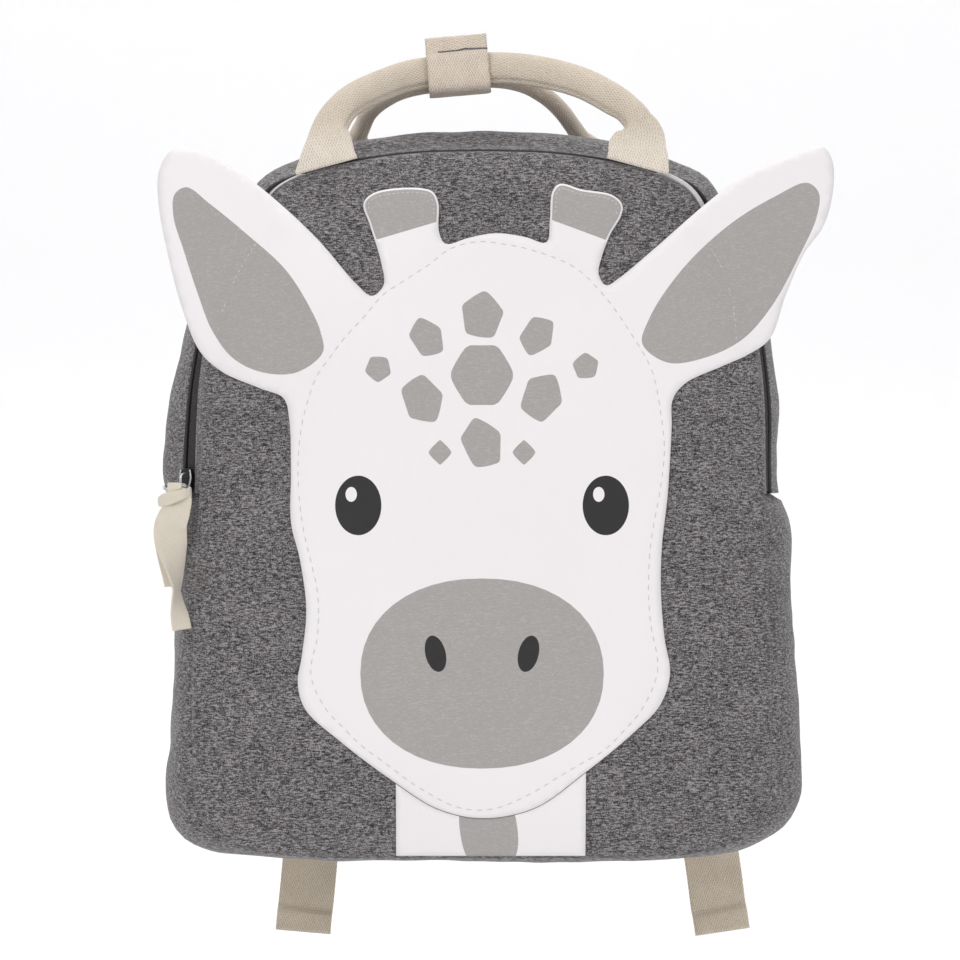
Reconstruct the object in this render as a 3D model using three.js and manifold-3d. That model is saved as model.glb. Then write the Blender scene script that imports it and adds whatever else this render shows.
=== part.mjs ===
// A kids' animal backpack in grey marl cloth, hanging by its two grab handles.
// A domed front panel carries a sewn-on giraffe head whose ears stand out past the bag. Behind it come a
// zipped gusset, a base gusset and a padded back panel with two shoulder straps. The bag is hollow.
// Millimetres. X runs to the right of the bag seen from the front, Y from the front to the back, Z up.
// The origin is the underside of the handle wrap, where a hook carries the bag.
import * as THREE from "three";
import { mergeVertices } from "three/addons/utils/BufferGeometryUtils.js";
import Module from "manifold-3d";

const wasm = await Module();
wasm.setup();

// Driving sizes
const clearance = 0.3; // between pieces that are sewn or laid together
const seamHalfWidth = 132.5; // the front seam, at its widest
const seamHeight = 322; // the front seam's top above the base
const baseDepth = 100; // front seam to back seam, at the base
const frontLean = 12; // how far the front seam's top leans towards the back
const clothWall = 2; // cloth and lining together
const frontSwell = 16; // how far the filled front panel stands proud of its seam
const backSwell = 4;
const backPadding = 5; // the padded back panel
const baseSag = 4;
const topSwell = 12;
const sideSwell = 20;
const zipEndHeight = 165;
const zipNeck = 26; // the length over which the gusset swells again below a zip end
const flapWidth = 5;
const zipGap = 5; // the open strip between flap and zip gusset, where the coil shows
const zipBand = 16; // the stretch behind the front seam that keeps its width all round
const zipTapeWidth = 12;
const zipTapeThickness = 1;
const coilWidth = 3.4;
const coilHeight = 1.9;
const bindingWidth = 2.2;
const bindingProud = 1.1;
const headThickness = 1.7;
const earBackThickness = 1.1;
const earLean = 0.16; // backward slope of an ear past the seam
const neckThickness = 0.7;
const neckLeft = 39;
const neckRight = 47;
const handleWebbing = 29;
const webbingThickness = 2;
const rolledHeight = 14.5; // the front handle's rolled stretch, seen from the front
const rolledDepth = 9;
const rearRolledHeight = 8;
const rearRolledDepth = 14;
const handleFootCentre = 71; // from the middle of the bag
const rearFootCentre = 56;
const handleReach = 40; // the rolled front handle's middle above the top seam
const rearHandleDrop = 4.2; // how far the rear handle runs below the front one in the wrap
const wrapLength = 28.6;
const wrapMiddle = -11; // the wrap has slipped to the left
const wrapTilt = 5; // degrees, its right end higher
const wrapWall = 1.8;
const wrapDepth = 43; // the front handle's middle in the wrap, behind the front seam's base
const finHeight = 6;
const finThickness = 4.2;
const strapWidth = 46;
const strapThickness = 9;
const strapTopHeight = 284;
const strapEndHeight = 116;
const strapTopCentre = 31;
const strapEndCentre = 80;
const strapStandOff = 17; // the widest gap between strap and back panel
const yokeHeight = 24;
const yokeThickness = 2.4;
const webbingWidth = 26.5;
const lockWidth = 35;
const lockHeight = 27;
const lockThickness = 4;
const lockBar = 3.6;
const lockDrop = 7; // the lock below the strap's padded end
const tailStandOff = 7; // how far a hanging tail swings back towards the bag
const anchorHeight = 15;
const anchorCentre = seamHalfWidth - 29.5; // its inset from the seam's widest
const anchorTop = 24;
const tailDrop = 46; // the free webbing ends below the base
const hemLength = 10.5;
const hemThickness = 4.6;
const sliderLength = 11;
const sliderWidth = 7.5;
const sliderHeight = 2.2;
const bailHeight = 3.2;
const bailWire = 1.1;
const ringRadius = 5.2; // to the middle of its wire
const ringWire = 1.4;
const ringTilt = 17; // degrees, its front side lower
const tapeWidth = 15;
const tapeThickness = 1.1;
const tapeLength = 66;
const shortTapeLength = 44;

// Mesh steps
const seamStepsPerRow = 2;
const baseSteps = 4;
const tubeSides = 12;
const ringSides = 6;

// The right half of the front seam, from the end of the straight base edge to the middle of the top.
// Shares of seamHalfWidth and seamHeight.
const SEAM = [
  { across: 0.53, up: 0 },
  { across: 0.8, up: 0.012 },
  { across: 0.925, up: 0.037 },
  { across: 0.978, up: 0.068 },
  { across: 0.996, up: 0.15 },
  { across: 0.992, up: 0.34 },
  { across: 0.974, up: zipEndHeight / seamHeight },
  { across: 0.96, up: 0.68 },
  { across: 0.92, up: 0.775 },
  { across: 0.864, up: 0.823 },
  { across: 0.79, up: 0.885 },
  { across: 0.712, up: 0.942 },
  { across: 0.61, up: 0.966 },
  { across: 0.45, up: 0.984 },
  { across: 0.24, up: 0.9965 },
  { across: 0, up: 1 },
];
const ZIP_END_ROW = SEAM.findIndex((row) => row.up === zipEndHeight / seamHeight);

// How far each side of the gusset swells past the seam, as shares of sideSwell, by height.
const SIDE_SWELL = [
  { up: 0.04, left: 0.87, right: 0.6 },
  { up: 0.1, left: 0.73, right: 0.79 },
  { up: 0.17, left: 0.62, right: 0.76 },
  { up: 0.31, left: 0.52, right: 0.635 },
  { up: 0.4, left: 0.53, right: 0.615 },
  { up: 0.465, left: 0.62, right: 0.64 },
  { up: 0.52, left: 0.94, right: 0.45 },
  { up: 0.55, left: 1.0, right: 0.45 },
  { up: 0.63, left: 0.9, right: 0.53 },
  { up: 0.72, left: 0.74, right: 0.49 },
  { up: 0.9, left: 0.66, right: 0.72 },
  { up: 1, left: 0.62, right: 0.72 },
];

// The gusset's section from front seam to back seam: depth share, and how far out it stands as a share
// of the swell there, for the plain base stretch and for the zipped one at its sides and over the top.
const GUSSET_PROFILE = [
  { depth: 0, base: 0, side: 0, top: 0 },
  { depth: flapWidth / baseDepth, base: 0.38, side: 0.13, top: 0.04 },
  { depth: (flapWidth + zipGap) / baseDepth, base: 0.6, side: 0.42, top: 0.14 },
  { depth: zipBand / baseDepth, base: 0.78, side: 0.62, top: 0.3 },
  { depth: 0.22, base: 0.9, side: 0.78, top: 0.52 },
  { depth: 0.32, base: 1, side: 0.94, top: 0.82 },
  { depth: 0.5, base: 1, side: 1, top: 1 },
  { depth: 0.75, base: 0.9, side: 0.88, top: 0.88 },
  { depth: 0.91, base: 0.5, side: 0.46, top: 0.46 },
  { depth: 1, base: 0.04, side: 0.04, top: 0.04 },
];

// The panels' rise over their seams: share of the way from the middle to the seam, and share of the swell.
const FRONT_DOME = [
  { ring: 0, rise: 1 },
  { ring: 0.45, rise: 0.96 },
  { ring: 0.7, rise: 0.82 },
  { ring: 0.87, rise: 0.54 },
  { ring: 0.965, rise: 0.22 },
  { ring: 1, rise: 0 },
];
const BACK_DOME = [
  { ring: 0, rise: 1 },
  { ring: 0.86, rise: 0.9 },
  { ring: 1, rise: 0 },
];
const STITCH_RING = 0.965; // where an ear is sewn down on the front panel's edge
const EAR_RINGS = [1.15, 1.4, 1.75];

// The giraffe head's cut line, anticlockwise from the chin, as shares of seamHalfWidth and seamHeight.
const RIGHT_CHEEK = [
  { across: 0, up: 0.0565 },
  { across: 0.179, up: 0.071 },
  { across: 0.347, up: 0.12 },
  { across: 0.515, up: 0.177 },
  { across: 0.608, up: 0.217 },
  { across: 0.642, up: 0.261 },
  { across: 0.623, up: 0.311 },
  { across: 0.611, up: 0.377 },
  { across: 0.615, up: 0.441 },
  { across: 0.635, up: 0.512 },
  { across: 0.649, up: 0.606 },
  { across: 0.653, up: 0.646 },
];
const RIGHT_EAR = [
  { across: 0.697, up: 0.669 },
  { across: 0.817, up: 0.692 },
  { across: 0.919, up: 0.711 },
  { across: 0.992, up: 0.733 },
  { across: 1.048, up: 0.795 },
  { across: 1.112, up: 0.854 },
  { across: 1.181, up: 0.894 },
  { across: 1.215, up: 0.941 },
  { across: 1.215, up: 0.988 },
  { across: 1.181, up: 1.008 },
  { across: 1.057, up: 0.993 },
  { across: 0.906, up: 0.966 },
  { across: 0.773, up: 0.925 },
  { across: 0.596, up: 0.861 },
  { across: 0.465, up: 0.816 },
];
const RIGHT_HORN = [
  { across: 0.425, up: 0.807 },
  { across: 0.4, up: 0.823 },
  { across: 0.411, up: 0.848 },
  { across: 0.44, up: 0.879 },
  { across: 0.479, up: 0.907 },
  { across: 0.483, up: 0.922 },
  { across: 0.449, up: 0.936 },
  { across: 0.343, up: 0.944 },
  { across: 0.268, up: 0.952 },
  { across: 0.242, up: 0.941 },
  { across: 0.233, up: 0.901 },
  { across: 0.221, up: 0.868 },
];
const CROWN = [
  { across: 0.145, up: 0.876 },
  { across: 0.045, up: 0.881 },
  { across: -0.045, up: 0.8745 },
];
const LEFT_HORN = [
  { across: -0.125, up: 0.866 },
  { across: -0.147, up: 0.882 },
  { across: -0.151, up: 0.927 },
  { across: -0.177, up: 0.9425 },
  { across: -0.366, up: 0.94 },
  { across: -0.4075, up: 0.924 },
  { across: -0.385, up: 0.8925 },
  { across: -0.347, up: 0.8415 },
  { across: -0.337, up: 0.8075 },
  { across: -0.377, up: 0.792 },
];
const LEFT_EAR = [
  { across: -0.427, up: 0.8075 },
  { across: -0.574, up: 0.877 },
  { across: -0.773, up: 0.951 },
  { across: -0.887, up: 0.983 },
  { across: -0.996, up: 1.004 },
  { across: -1.079, up: 1.001 },
  { across: -1.119, up: 0.972 },
  { across: -1.119, up: 0.9255 },
  { across: -1.087, up: 0.857 },
  { across: -1.034, up: 0.776 },
  { across: -0.97, up: 0.714 },
  { across: -0.891, up: 0.685 },
  { across: -0.762, up: 0.662 },
  { across: -0.679, up: 0.6475 },
];
const LEFT_CHEEK = [
  { across: -0.66, up: 0.618 },
  { across: -0.654, up: 0.5435 },
  { across: -0.653, up: 0.472 },
  { across: -0.623, up: 0.422 },
  { across: -0.6, up: 0.351 },
  { across: -0.615, up: 0.286 },
  { across: -0.629, up: 0.248 },
  { across: -0.604, up: 0.211 },
  { across: -0.4845, up: 0.1655 },
  { across: -0.302, up: 0.109 },
  { across: -0.151, up: 0.07 },
];

const point = (x, y, z) => new THREE.Vector3(x, y, z);
const forward = point(0, -1, 0);
const back = point(0, 1, 0);
const up = point(0, 0, 1);
const lerp = THREE.MathUtils.lerp;

// The value of column `name` in a table whose rows are ordered by column `by`.
function readTable(table, by, at, name) {
  const next = table.findIndex((row) => row[by] >= at);
  if (next === 0) return table[0][name];
  if (next < 0) return table[table.length - 1][name];
  const [low, high] = [table[next - 1], table[next]];
  return lerp(low[name], high[name], (at - low[by]) / (high[by] - low[by]));
}

// A geometry from loose triangles, each three points, turned so that its faces point out.
function closedGeometry(triangles) {
  const kept = triangles.filter(([a, b, c]) => !a.equals(b) && !b.equals(c) && !c.equals(a));
  const volume = kept.reduce((sum, [a, b, c]) => sum + a.dot(b.clone().cross(c)), 0);
  const ordered = volume < 0 ? kept.map(([a, b, c]) => [a, c, b]) : kept;
  return new THREE.BufferGeometry().setFromPoints(ordered.flat());
}

const twoTriangles = (a, b, c, d) => [[a, b, c], [a, c, d]];

// A closed sheet between two grids of points of the same size. A grid is a list of rows; ring means that
// the last point of each row meets its first.
function sheetBetween(outer, inner, ring = false) {
  const triangles = [];
  const rows = outer.length;
  const columns = outer[0].length;
  const steps = ring ? columns : columns - 1;
  const next = (column) => (column + 1) % columns;
  for (let column = 0; column < steps; column += 1) {
    const after = next(column);
    for (let row = 0; row < rows - 1; row += 1) {
      triangles.push(
        ...twoTriangles(outer[row][column], outer[row][after], outer[row + 1][after], outer[row + 1][column]),
        ...twoTriangles(inner[row][column], inner[row + 1][column], inner[row + 1][after], inner[row][after]),
      );
    }
    const last = rows - 1;
    triangles.push(
      ...twoTriangles(outer[0][column], inner[0][column], inner[0][after], outer[0][after]),
      ...twoTriangles(outer[last][column], outer[last][after], inner[last][after], inner[last][column]),
    );
  }
  if (!ring) {
    for (const [column, turn] of [[0, false], [columns - 1, true]]) {
      for (let row = 0; row < rows - 1; row += 1) {
        const side = [outer[row][column], outer[row + 1][column], inner[row + 1][column], inner[row][column]];
        triangles.push(...twoTriangles(...(turn ? side.reverse() : side)));
      }
    }
  }
  return closedGeometry(triangles);
}

// A closed body through a list of loops with the same number of points, its two ends capped.
function loftLoops(loops, capIndices, closed = false) {
  const sides = loops[0].length;
  const triangles = [];
  const stretches = closed ? loops.length : loops.length - 1;
  for (let i = 0; i < stretches; i += 1) {
    const [here, there] = [loops[i], loops[(i + 1) % loops.length]];
    for (let side = 0; side < sides; side += 1) {
      const after = (side + 1) % sides;
      triangles.push(...twoTriangles(here[side], here[after], there[after], there[side]));
    }
  }
  if (!closed) {
    const last = loops[loops.length - 1];
    for (const [a, b, c] of capIndices.map((corners) => [...corners].sort((m, n) => m - n))) {
      triangles.push([loops[0][c], loops[0][b], loops[0][a]], [last[a], last[b], last[c]]);
    }
  }
  return closedGeometry(triangles);
}

const fan = (sides) => Array.from({ length: sides - 2 }, (_, i) => [0, i + 1, i + 2]);

function toManifold(geometry) {
  const bare = geometry.clone();
  bare.deleteAttribute("normal");
  bare.deleteAttribute("uv");
  const merged = mergeVertices(bare, 1e-3);
  return new wasm.Manifold(
    new wasm.Mesh({
      numProp: 3,
      vertProperties: merged.attributes.position.array,
      triVerts: new Uint32Array(merged.index.array),
    }),
  );
}

function fromManifold(solid) {
  const mesh = solid.getMesh();
  return new THREE.BufferGeometry()
    .setAttribute("position", new THREE.BufferAttribute(new Float32Array(mesh.vertProperties), 3))
    .setIndex(new THREE.BufferAttribute(new Uint32Array(mesh.triVerts), 1));
}

// The front seam as points in the XZ plane, anticlockwise from the middle of the base edge, each with its
// outward direction.
function seamLine() {
  const rows = SEAM.map((row) => point(row.across * seamHalfWidth, 0, row.up * seamHeight));
  const curve = new THREE.CatmullRomCurve3(rows, false, "centripetal");
  const half = curve.getPoints((SEAM.length - 1) * seamStepsPerRow);
  const base = Array.from({ length: baseSteps }, (_, i) => point((half[0].x * i) / baseSteps, 0, half[0].z));
  const right = [...base, ...half];
  const left = right.slice(1, -1).reverse().map((p) => point(-p.x, 0, p.z));
  const line = [...right, ...left];
  return line.map((p, i) => {
    const before = line[(i + line.length - 1) % line.length];
    const after = line[(i + 1) % line.length];
    const along = after.clone().sub(before).normalize();
    return { x: p.x, z: p.z, outX: along.z, outZ: -along.x };
  });
}

const seam = seamLine();
const rightZipEnd = baseSteps + ZIP_END_ROW * seamStepsPerRow;
const leftZipEnd = seam.length - rightZipEnd;
const middle = { x: 0, z: seamHeight / 2 };

// A point of the seam at a fractional index, which may run past either end.
function seamAt(index) {
  const low = Math.floor(index);
  const share = index - low;
  const [a, b] = [low, low + 1].map((i) => seam[(i + 2 * seam.length) % seam.length]);
  return Object.fromEntries(["x", "z", "outX", "outZ"].map((key) => [key, lerp(a[key], b[key], share)]));
}

const frontY = (z) => (frontLean * z) / seamHeight;
const depthAt = (z) => baseDepth - frontY(z);

// 0 where the seam faces sideways and 1 where it faces up or down.
const upShare = (place) => (place.outZ ** 2 / (place.outX ** 2 + place.outZ ** 2)) ** 2;

// How far the gusset swells past the seam at a seam point: its base, sides and top in turn.
function swellAt(place) {
  const side = place.x < 0 ? "left" : "right";
  const sideways = readTable(SIDE_SWELL, "up", place.z / seamHeight, side) * sideSwell;
  return lerp(sideways, place.outZ > 0 ? topSwell : baseSag, upShare(place));
}

// 1 along the zip, falling to 0 below its ends.
function zipShare(place) {
  if (place.outZ < -0.5) return 0;
  return THREE.MathUtils.smoothstep(place.z, zipEndHeight - zipNeck, zipEndHeight);
}

// Depth share to millimetres behind the front seam and back. The first zipBand millimetres keep their size.
const bandShare = zipBand / baseDepth;
const deepAt = (share, place) =>
  share <= bandShare
    ? share * baseDepth
    : lerp(zipBand, depthAt(place.z), (share - bandShare) / (1 - bandShare));
const shareAt = (deep, place) =>
  deep <= zipBand
    ? deep / baseDepth
    : lerp(bandShare, 1, (deep - zipBand) / (depthAt(place.z) - zipBand));

// A point of the gusset's outer face, `deep` millimetres behind the front seam, moved out by `lift`.
function gussetPoint(place, deep, lift = 0) {
  const share = shareAt(deep, place);
  const [plain, side, top] = ["base", "side", "top"].map((name) => readTable(GUSSET_PROFILE, "depth", share, name));
  const zipped = lerp(side, top, upShare(place));
  const out = swellAt(place) * lerp(plain, zipped, zipShare(place)) + lift;
  const z = place.z + place.outZ * out;
  return point(place.x + place.outX * out, frontY(place.z) + deep, z);
}

// Fractional seam indices from one to another through each seam point between them, held off both ends.
function seamRange(from, to, hold = clearance) {
  const stepLength = (i) => Math.hypot(seamAt(i + 1).x - seamAt(i).x, seamAt(i + 1).z - seamAt(i).z);
  const start = from + hold / 2 / stepLength(from);
  const end = to - hold / 2 / stepLength(to - 1);
  const between = Array.from({ length: to - from - 1 }, (_, i) => from + 1 + i);
  return [start, ...between, end].map(seamAt);
}

// A wall of the gusset over a stretch of the seam, between two depths.
function gussetWall(places, firstDeep, lastDeepOf, thickness = clothWall) {
  const shares = GUSSET_PROFILE.map((row) => row.depth);
  const inner = shares.filter((share) => deepAt(share, places[0]) > firstDeep + 1 && share < 1);
  const rows = [
    () => firstDeep,
    ...inner.map((share) => (place) => deepAt(share, place)),
    lastDeepOf,
  ].filter((deepOf, i, all) => i === 0 || i === all.length - 1 || deepOf(places[0]) < lastDeepOf(places[0]) - 1);
  const grid = (lift) => rows.map((deepOf) => places.map((place) => gussetPoint(place, deepOf(place), lift)));
  return sheetBetween(grid(0), grid(-thickness));
}

const backDepth = (place) => depthAt(place.z) - clearance;
const zipFrom = flapWidth + zipGap;

function baseGusset() {
  const places = seamRange(leftZipEnd - seam.length, rightZipEnd);
  return gussetWall(places, clearance, backDepth);
}

const zippedPlaces = () => seamRange(rightZipEnd, leftZipEnd);

function zipFlap() {
  return gussetWall(zippedPlaces(), clearance, () => flapWidth);
}

function zipGusset() {
  return gussetWall(zippedPlaces(), zipFrom, backDepth);
}

// The zip's tape under both cloth edges, with the closed coil standing up between them.
function zipper() {
  const tapeLift = -clothWall - clearance;
  const centre = flapWidth + zipGap / 2;
  const [front, back] = [centre - zipTapeWidth / 2, centre + zipTapeWidth / 2];
  const section = [
    { deep: front, lift: tapeLift },
    { deep: flapWidth, lift: tapeLift },
    { deep: centre - coilWidth / 2, lift: tapeLift },
    { deep: centre - coilWidth / 4, lift: tapeLift + coilHeight },
    { deep: centre + coilWidth / 4, lift: tapeLift + coilHeight },
    { deep: centre + coilWidth / 2, lift: tapeLift },
    { deep: zipFrom, lift: tapeLift },
    { deep: back, lift: tapeLift },
    { deep: back, lift: tapeLift - zipTapeThickness },
    { deep: zipFrom, lift: tapeLift - zipTapeThickness },
    { deep: flapWidth, lift: tapeLift - zipTapeThickness },
    { deep: front, lift: tapeLift - zipTapeThickness },
  ];
  const loops = zippedPlaces().map((place) => section.map(({ deep, lift }) => gussetPoint(place, deep, lift)));
  const caps = THREE.ShapeUtils.triangulateShape(section.map((s) => new THREE.Vector2(s.deep, s.lift)), []);
  return loftLoops(loops, caps);
}

// The pale binding that peeps out along the front seam, standing on the flap.
function seamBinding() {
  const places = seamRange(rightZipEnd + 1, leftZipEnd - 1);
  const corner = (place, deep, lift) => gussetPoint(place, deep, lift);
  const loops = places.map((place) => [
    corner(place, clearance, 1.5 * clearance),
    corner(place, clearance + bindingWidth, 1.5 * clearance),
    corner(place, clearance + bindingWidth, 1.5 * clearance + bindingProud),
    corner(place, clearance, 1.5 * clearance + bindingProud),
  ]);
  return loftLoops(loops, fan(4));
}

const ringRow = (share, inset) =>
  seam.map((place) => ({
    x: middle.x + (place.x - place.outX * inset - middle.x) * share,
    z: middle.z + (place.z - place.outZ * inset - middle.z) * share,
  }));

// A domed panel that closes one side of the gusset. `yOf` gives the seam's depth, `away` is -1 in front
// and 1 behind.
function domedPanel(dome, swell, thickness, yOf, away) {
  const grid = (inset, rise) =>
    dome.map((row) => ringRow(row.ring, inset).map((p) => point(p.x, yOf(p.z) + away * rise * row.rise, p.z)));
  return sheetBetween(grid(0, swell), grid(clothWall, swell - thickness), true);
}

const frontPanel = () => domedPanel(FRONT_DOME, frontSwell, clothWall, frontY, -1);
const backPanel = () => domedPanel(BACK_DOME, backSwell, backPadding, () => baseDepth, 1);

// The rise of a cloth laid on the front panel. Past the stitch ring an ear leaves the panel.
const clothRise = (ring) => frontSwell * readTable(FRONT_DOME, "ring", ring, "rise");

function earRise(ring, reach) {
  if (ring <= STITCH_RING) return clothRise(ring);
  return clothRise(STITCH_RING) - earLean * reach * (ring - STITCH_RING);
}

// A sheet laid over the front panel's rings, from `gap` to `gap + thickness` in front of the panel.
function laidSheet(rings, riseOf, gap, thickness) {
  const grid = (lift) =>
    rings.map((ring) =>
      ringRow(ring, 0).map((p, i) => {
        const reach = Math.hypot(seam[i].x - middle.x, seam[i].z - middle.z);
        return point(p.x, frontY(p.z) - riseOf(ring, reach) - lift, p.z);
      }),
    );
  return toManifold(sheetBetween(grid(gap + thickness), grid(gap), true));
}

// A prism along Y over a flat outline in the XZ plane.
function prism(outline) {
  const long = baseDepth;
  const shape = new THREE.Shape(outline.map((p) => new THREE.Vector2(p.x, p.z)));
  const geometry = new THREE.ExtrudeGeometry(shape, { depth: 2 * long, bevelEnabled: false });
  geometry.rotateX(Math.PI / 2).translate(0, long, 0);
  return toManifold(geometry);
}

function smoothOutline(rows, stepsPerRow) {
  const points = rows.map((row) => point(row.across * seamHalfWidth, 0, row.up * seamHeight));
  const curve = new THREE.CatmullRomCurve3(points, true, "centripetal");
  return curve.getPoints(rows.length * stepsPerRow).slice(0, -1);
}

// An outline moved out by a small distance.
function grown(outline, by) {
  return outline.map((p, i) => {
    const before = outline[(i + outline.length - 1) % outline.length];
    const after = outline[(i + 1) % outline.length];
    const along = after.clone().sub(before).normalize();
    return point(p.x + along.z * by, 0, p.z - along.x * by);
  });
}

const headOutline = () =>
  smoothOutline([...RIGHT_CHEEK, ...RIGHT_EAR, ...RIGHT_HORN, ...CROWN, ...LEFT_HORN, ...LEFT_EAR, ...LEFT_CHEEK], 2);
const headRings = [...FRONT_DOME.map((row) => row.ring).filter((ring) => ring <= STITCH_RING), ...EAR_RINGS];

function giraffeHead() {
  const sheet = laidSheet(headRings, earRise, clearance, headThickness);
  return fromManifold(sheet.intersect(prism(headOutline())));
}

// The plain cloth behind an ear, from the bag's edge to the ear's own.
function earBack(rows) {
  const sheet = laidSheet(headRings, earRise, -clearance - earBackThickness + clearance, earBackThickness);
  const bag = prism(grown(seam.map((p) => point(p.x, 0, p.z)), clearance));
  return fromManifold(sheet.intersect(prism(smoothOutline(rows, 2))).subtract(bag));
}

// The neck, sewn on below the chin and into the base seam.
function neckPatch() {
  const rings = FRONT_DOME.map((row) => row.ring);
  const sheet = laidSheet(rings, clothRise, clearance, neckThickness);
  const top = 0.16 * seamHeight;
  const outline = [point(-neckLeft, 0, 0), point(neckRight, 0, 0), point(neckRight, 0, top), point(-neckLeft, 0, top)];
  const chin = prism(grown(headOutline(), clearance));
  return fromManifold(sheet.intersect(prism(outline)).subtract(chin));
}

// A band along stations, each with a place, a width, a thickness and the way it faces. `square` is 1 for a
// flat band and 0 for a rolled one.
function bandAlong(stations, sides = 4) {
  const places = stations.map((s) => s.at);
  const bulge = (value, square) => Math.sign(value) * Math.abs(value) ** lerp(1, 0.25, square);
  const loops = stations.map(({ at, wide, thick, facing = forward, square = 1 }, i) => {
    const before = places[Math.max(i - 1, 0)];
    const after = places[Math.min(i + 1, places.length - 1)];
    const along = after.clone().sub(before).normalize();
    const across = along.clone().cross(facing).normalize();
    const through = across.clone().cross(along).normalize();
    return Array.from({ length: sides }, (_, side) => {
      const angle = (2 * Math.PI * (side + 0.5)) / sides;
      const [c, d] = [Math.cos(angle), Math.sin(angle)];
      const reach = sides === 4 ? [Math.sign(c), Math.sign(d)] : [bulge(c, square), bulge(d, square)];
      return at
        .clone()
        .addScaledVector(across, (wide / 2) * reach[0])
        .addScaledVector(through, (thick / 2) * reach[1]);
    });
  });
  return loftLoops(loops, fan(sides));
}

// Stations on a smooth curve through the given rows, whose sizes are blended between rows.
function smoothStations(rows, steps) {
  const curve = new THREE.CatmullRomCurve3(rows.map((row) => row.at), false, "centripetal");
  return Array.from({ length: steps + 1 }, (_, i) => {
    const along = (i / steps) * (rows.length - 1);
    const low = Math.min(Math.floor(along), rows.length - 2);
    const share = along - low;
    const blend = (name) => lerp(rows[low][name], rows[low + 1][name], share);
    return { at: curve.getPoint(i / steps), wide: blend("wide"), thick: blend("thick"), square: blend("square") };
  });
}

// A half turn of webbing round a bar along X, from its front side to its back side over or under it.
function halfTurn(bar, bend, way, wide, thick) {
  return [0, 0.25, 0.5, 0.75, 1].map((share) => {
    const angle = Math.PI * share;
    const out = point(0, -Math.cos(angle), way * Math.sin(angle));
    return { at: bar.clone().addScaledVector(out, bend), wide, thick, facing: out };
  });
}

// The front handle from its left foot to its right: across as a share of handleFootCentre, up as a share
// of the way from the seam to handleRise, back as a share of the way to the wrap, roll from flat to rolled.
const FRONT_HANDLE = [
  { across: -0.99, up: 0.245, back: 0.07, roll: 0.5 },
  { across: -0.975, up: 0.41, back: 0.16, roll: 0.88 },
  { across: -0.905, up: 0.585, back: 0.3, roll: 1 },
  { across: -0.8, up: 0.72, back: 0.5, roll: 1 },
  { across: -0.617, up: 0.857, back: 0.75, roll: 1 },
  { across: -0.49, up: 0.935, back: 0.93, roll: 1 },
  { across: -0.37, up: 0.973, back: 1, roll: 1 },
  { across: -0.16, up: 1, back: 1, roll: 1 },
  { across: 0.06, up: 1.022, back: 1, roll: 1 },
  { across: 0.244, up: 1.01, back: 0.96, roll: 1 },
  { across: 0.437, up: 0.957, back: 0.85, roll: 1 },
  { across: 0.66, up: 0.845, back: 0.62, roll: 1 },
  { across: 0.855, up: 0.672, back: 0.36, roll: 1 },
  { across: 0.94, up: 0.58, back: 0.27, roll: 1.08 },
  { across: 1.005, up: 0.46, back: 0.18, roll: 1.05 },
  { across: 1.03, up: 0.335, back: 0.1, roll: 0.55 },
  { across: 1.01, up: 0.2, back: 0.04, roll: 0.1 },
];

// The rear handle likewise, with rearFootCentre.
const REAR_HANDLE = [
  { across: -1.07, up: 0.25, back: 0, roll: 0.4 },
  { across: -1.06, up: 0.42, back: 0.1, roll: 0.95 },
  { across: -1.01, up: 0.56, back: 0.3, roll: 1 },
  { across: -0.95, up: 0.69, back: 0.5, roll: 1 },
  { across: -0.84, up: 0.8, back: 0.72, roll: 1 },
  { across: -0.67, up: 0.9, back: 0.92, roll: 1 },
  { across: -0.42, up: 0.967, back: 1, roll: 1 },
  { across: 0.08, up: 1.028, back: 1, roll: 1 },
  { across: 0.35, up: 0.97, back: 0.94, roll: 1 },
  { across: 0.54, up: 0.84, back: 0.8, roll: 1 },
  { across: 0.67, up: 0.7, back: 0.56, roll: 1 },
  { across: 0.77, up: 0.545, back: 0.3, roll: 1 },
  { across: 0.85, up: 0.41, back: 0.1, roll: 0.9 },
  { across: 0.97, up: 0.28, back: 0, roll: 0.2 },
];

function seamNear(x) {
  const upper = seam.filter((place) => place.z > seamHeight / 2);
  const sorted = [...upper].sort((a, b) => Math.abs(a.x - x) - Math.abs(b.x - x));
  const [a, b] = sorted;
  const share = (x - a.x) / (b.x - a.x);
  return Object.fromEntries(["x", "z", "outX", "outZ"].map((key) => [key, lerp(a[key], b[key], share)]));
}

// A rolled handle between two flat feet, each sewn in over the seam at depth `footY`.
function handle(table, footCentre, footYOf, wrapY, top, rolledTall, rolledDeep) {
  const footRows = (sign) => {
    const seat = seamNear(sign * footCentre);
    return [2 * clearance, 5].map((lift) => ({
      at: point(seat.x + seat.outX * lift, footYOf(seat.z), seat.z + seat.outZ * lift),
      wide: handleWebbing,
      thick: webbingThickness,
      square: 1,
    }));
  };
  const seat = seamNear(footCentre);
  const arc = table.map((row) => ({
    at: point(row.across * footCentre, lerp(footYOf(seat.z), wrapY, row.back), lerp(seat.z, top, row.up)),
    wide: lerp(handleWebbing, rolledTall, row.roll),
    thick: lerp(webbingThickness, rolledDeep, Math.min(row.roll, 1)),
    square: 1 - Math.min(row.roll, 1),
  }));
  return bandAlong(smoothStations([...footRows(-1), ...arc, ...footRows(1).reverse()], 26), tubeSides);
}

const rearTubeY = wrapDepth + rolledDepth / 2 + 2 * clearance + rearRolledDepth / 2;
const handleRise = seamHeight + handleReach;
const rearRise = handleRise - rearHandleDrop;

const frontHandle = () => {
  const footY = (z) => frontY(z) - clearance - webbingThickness / 2;
  return handle(FRONT_HANDLE, handleFootCentre, footY, wrapDepth, handleRise, rolledHeight, rolledDepth);
};

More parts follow.
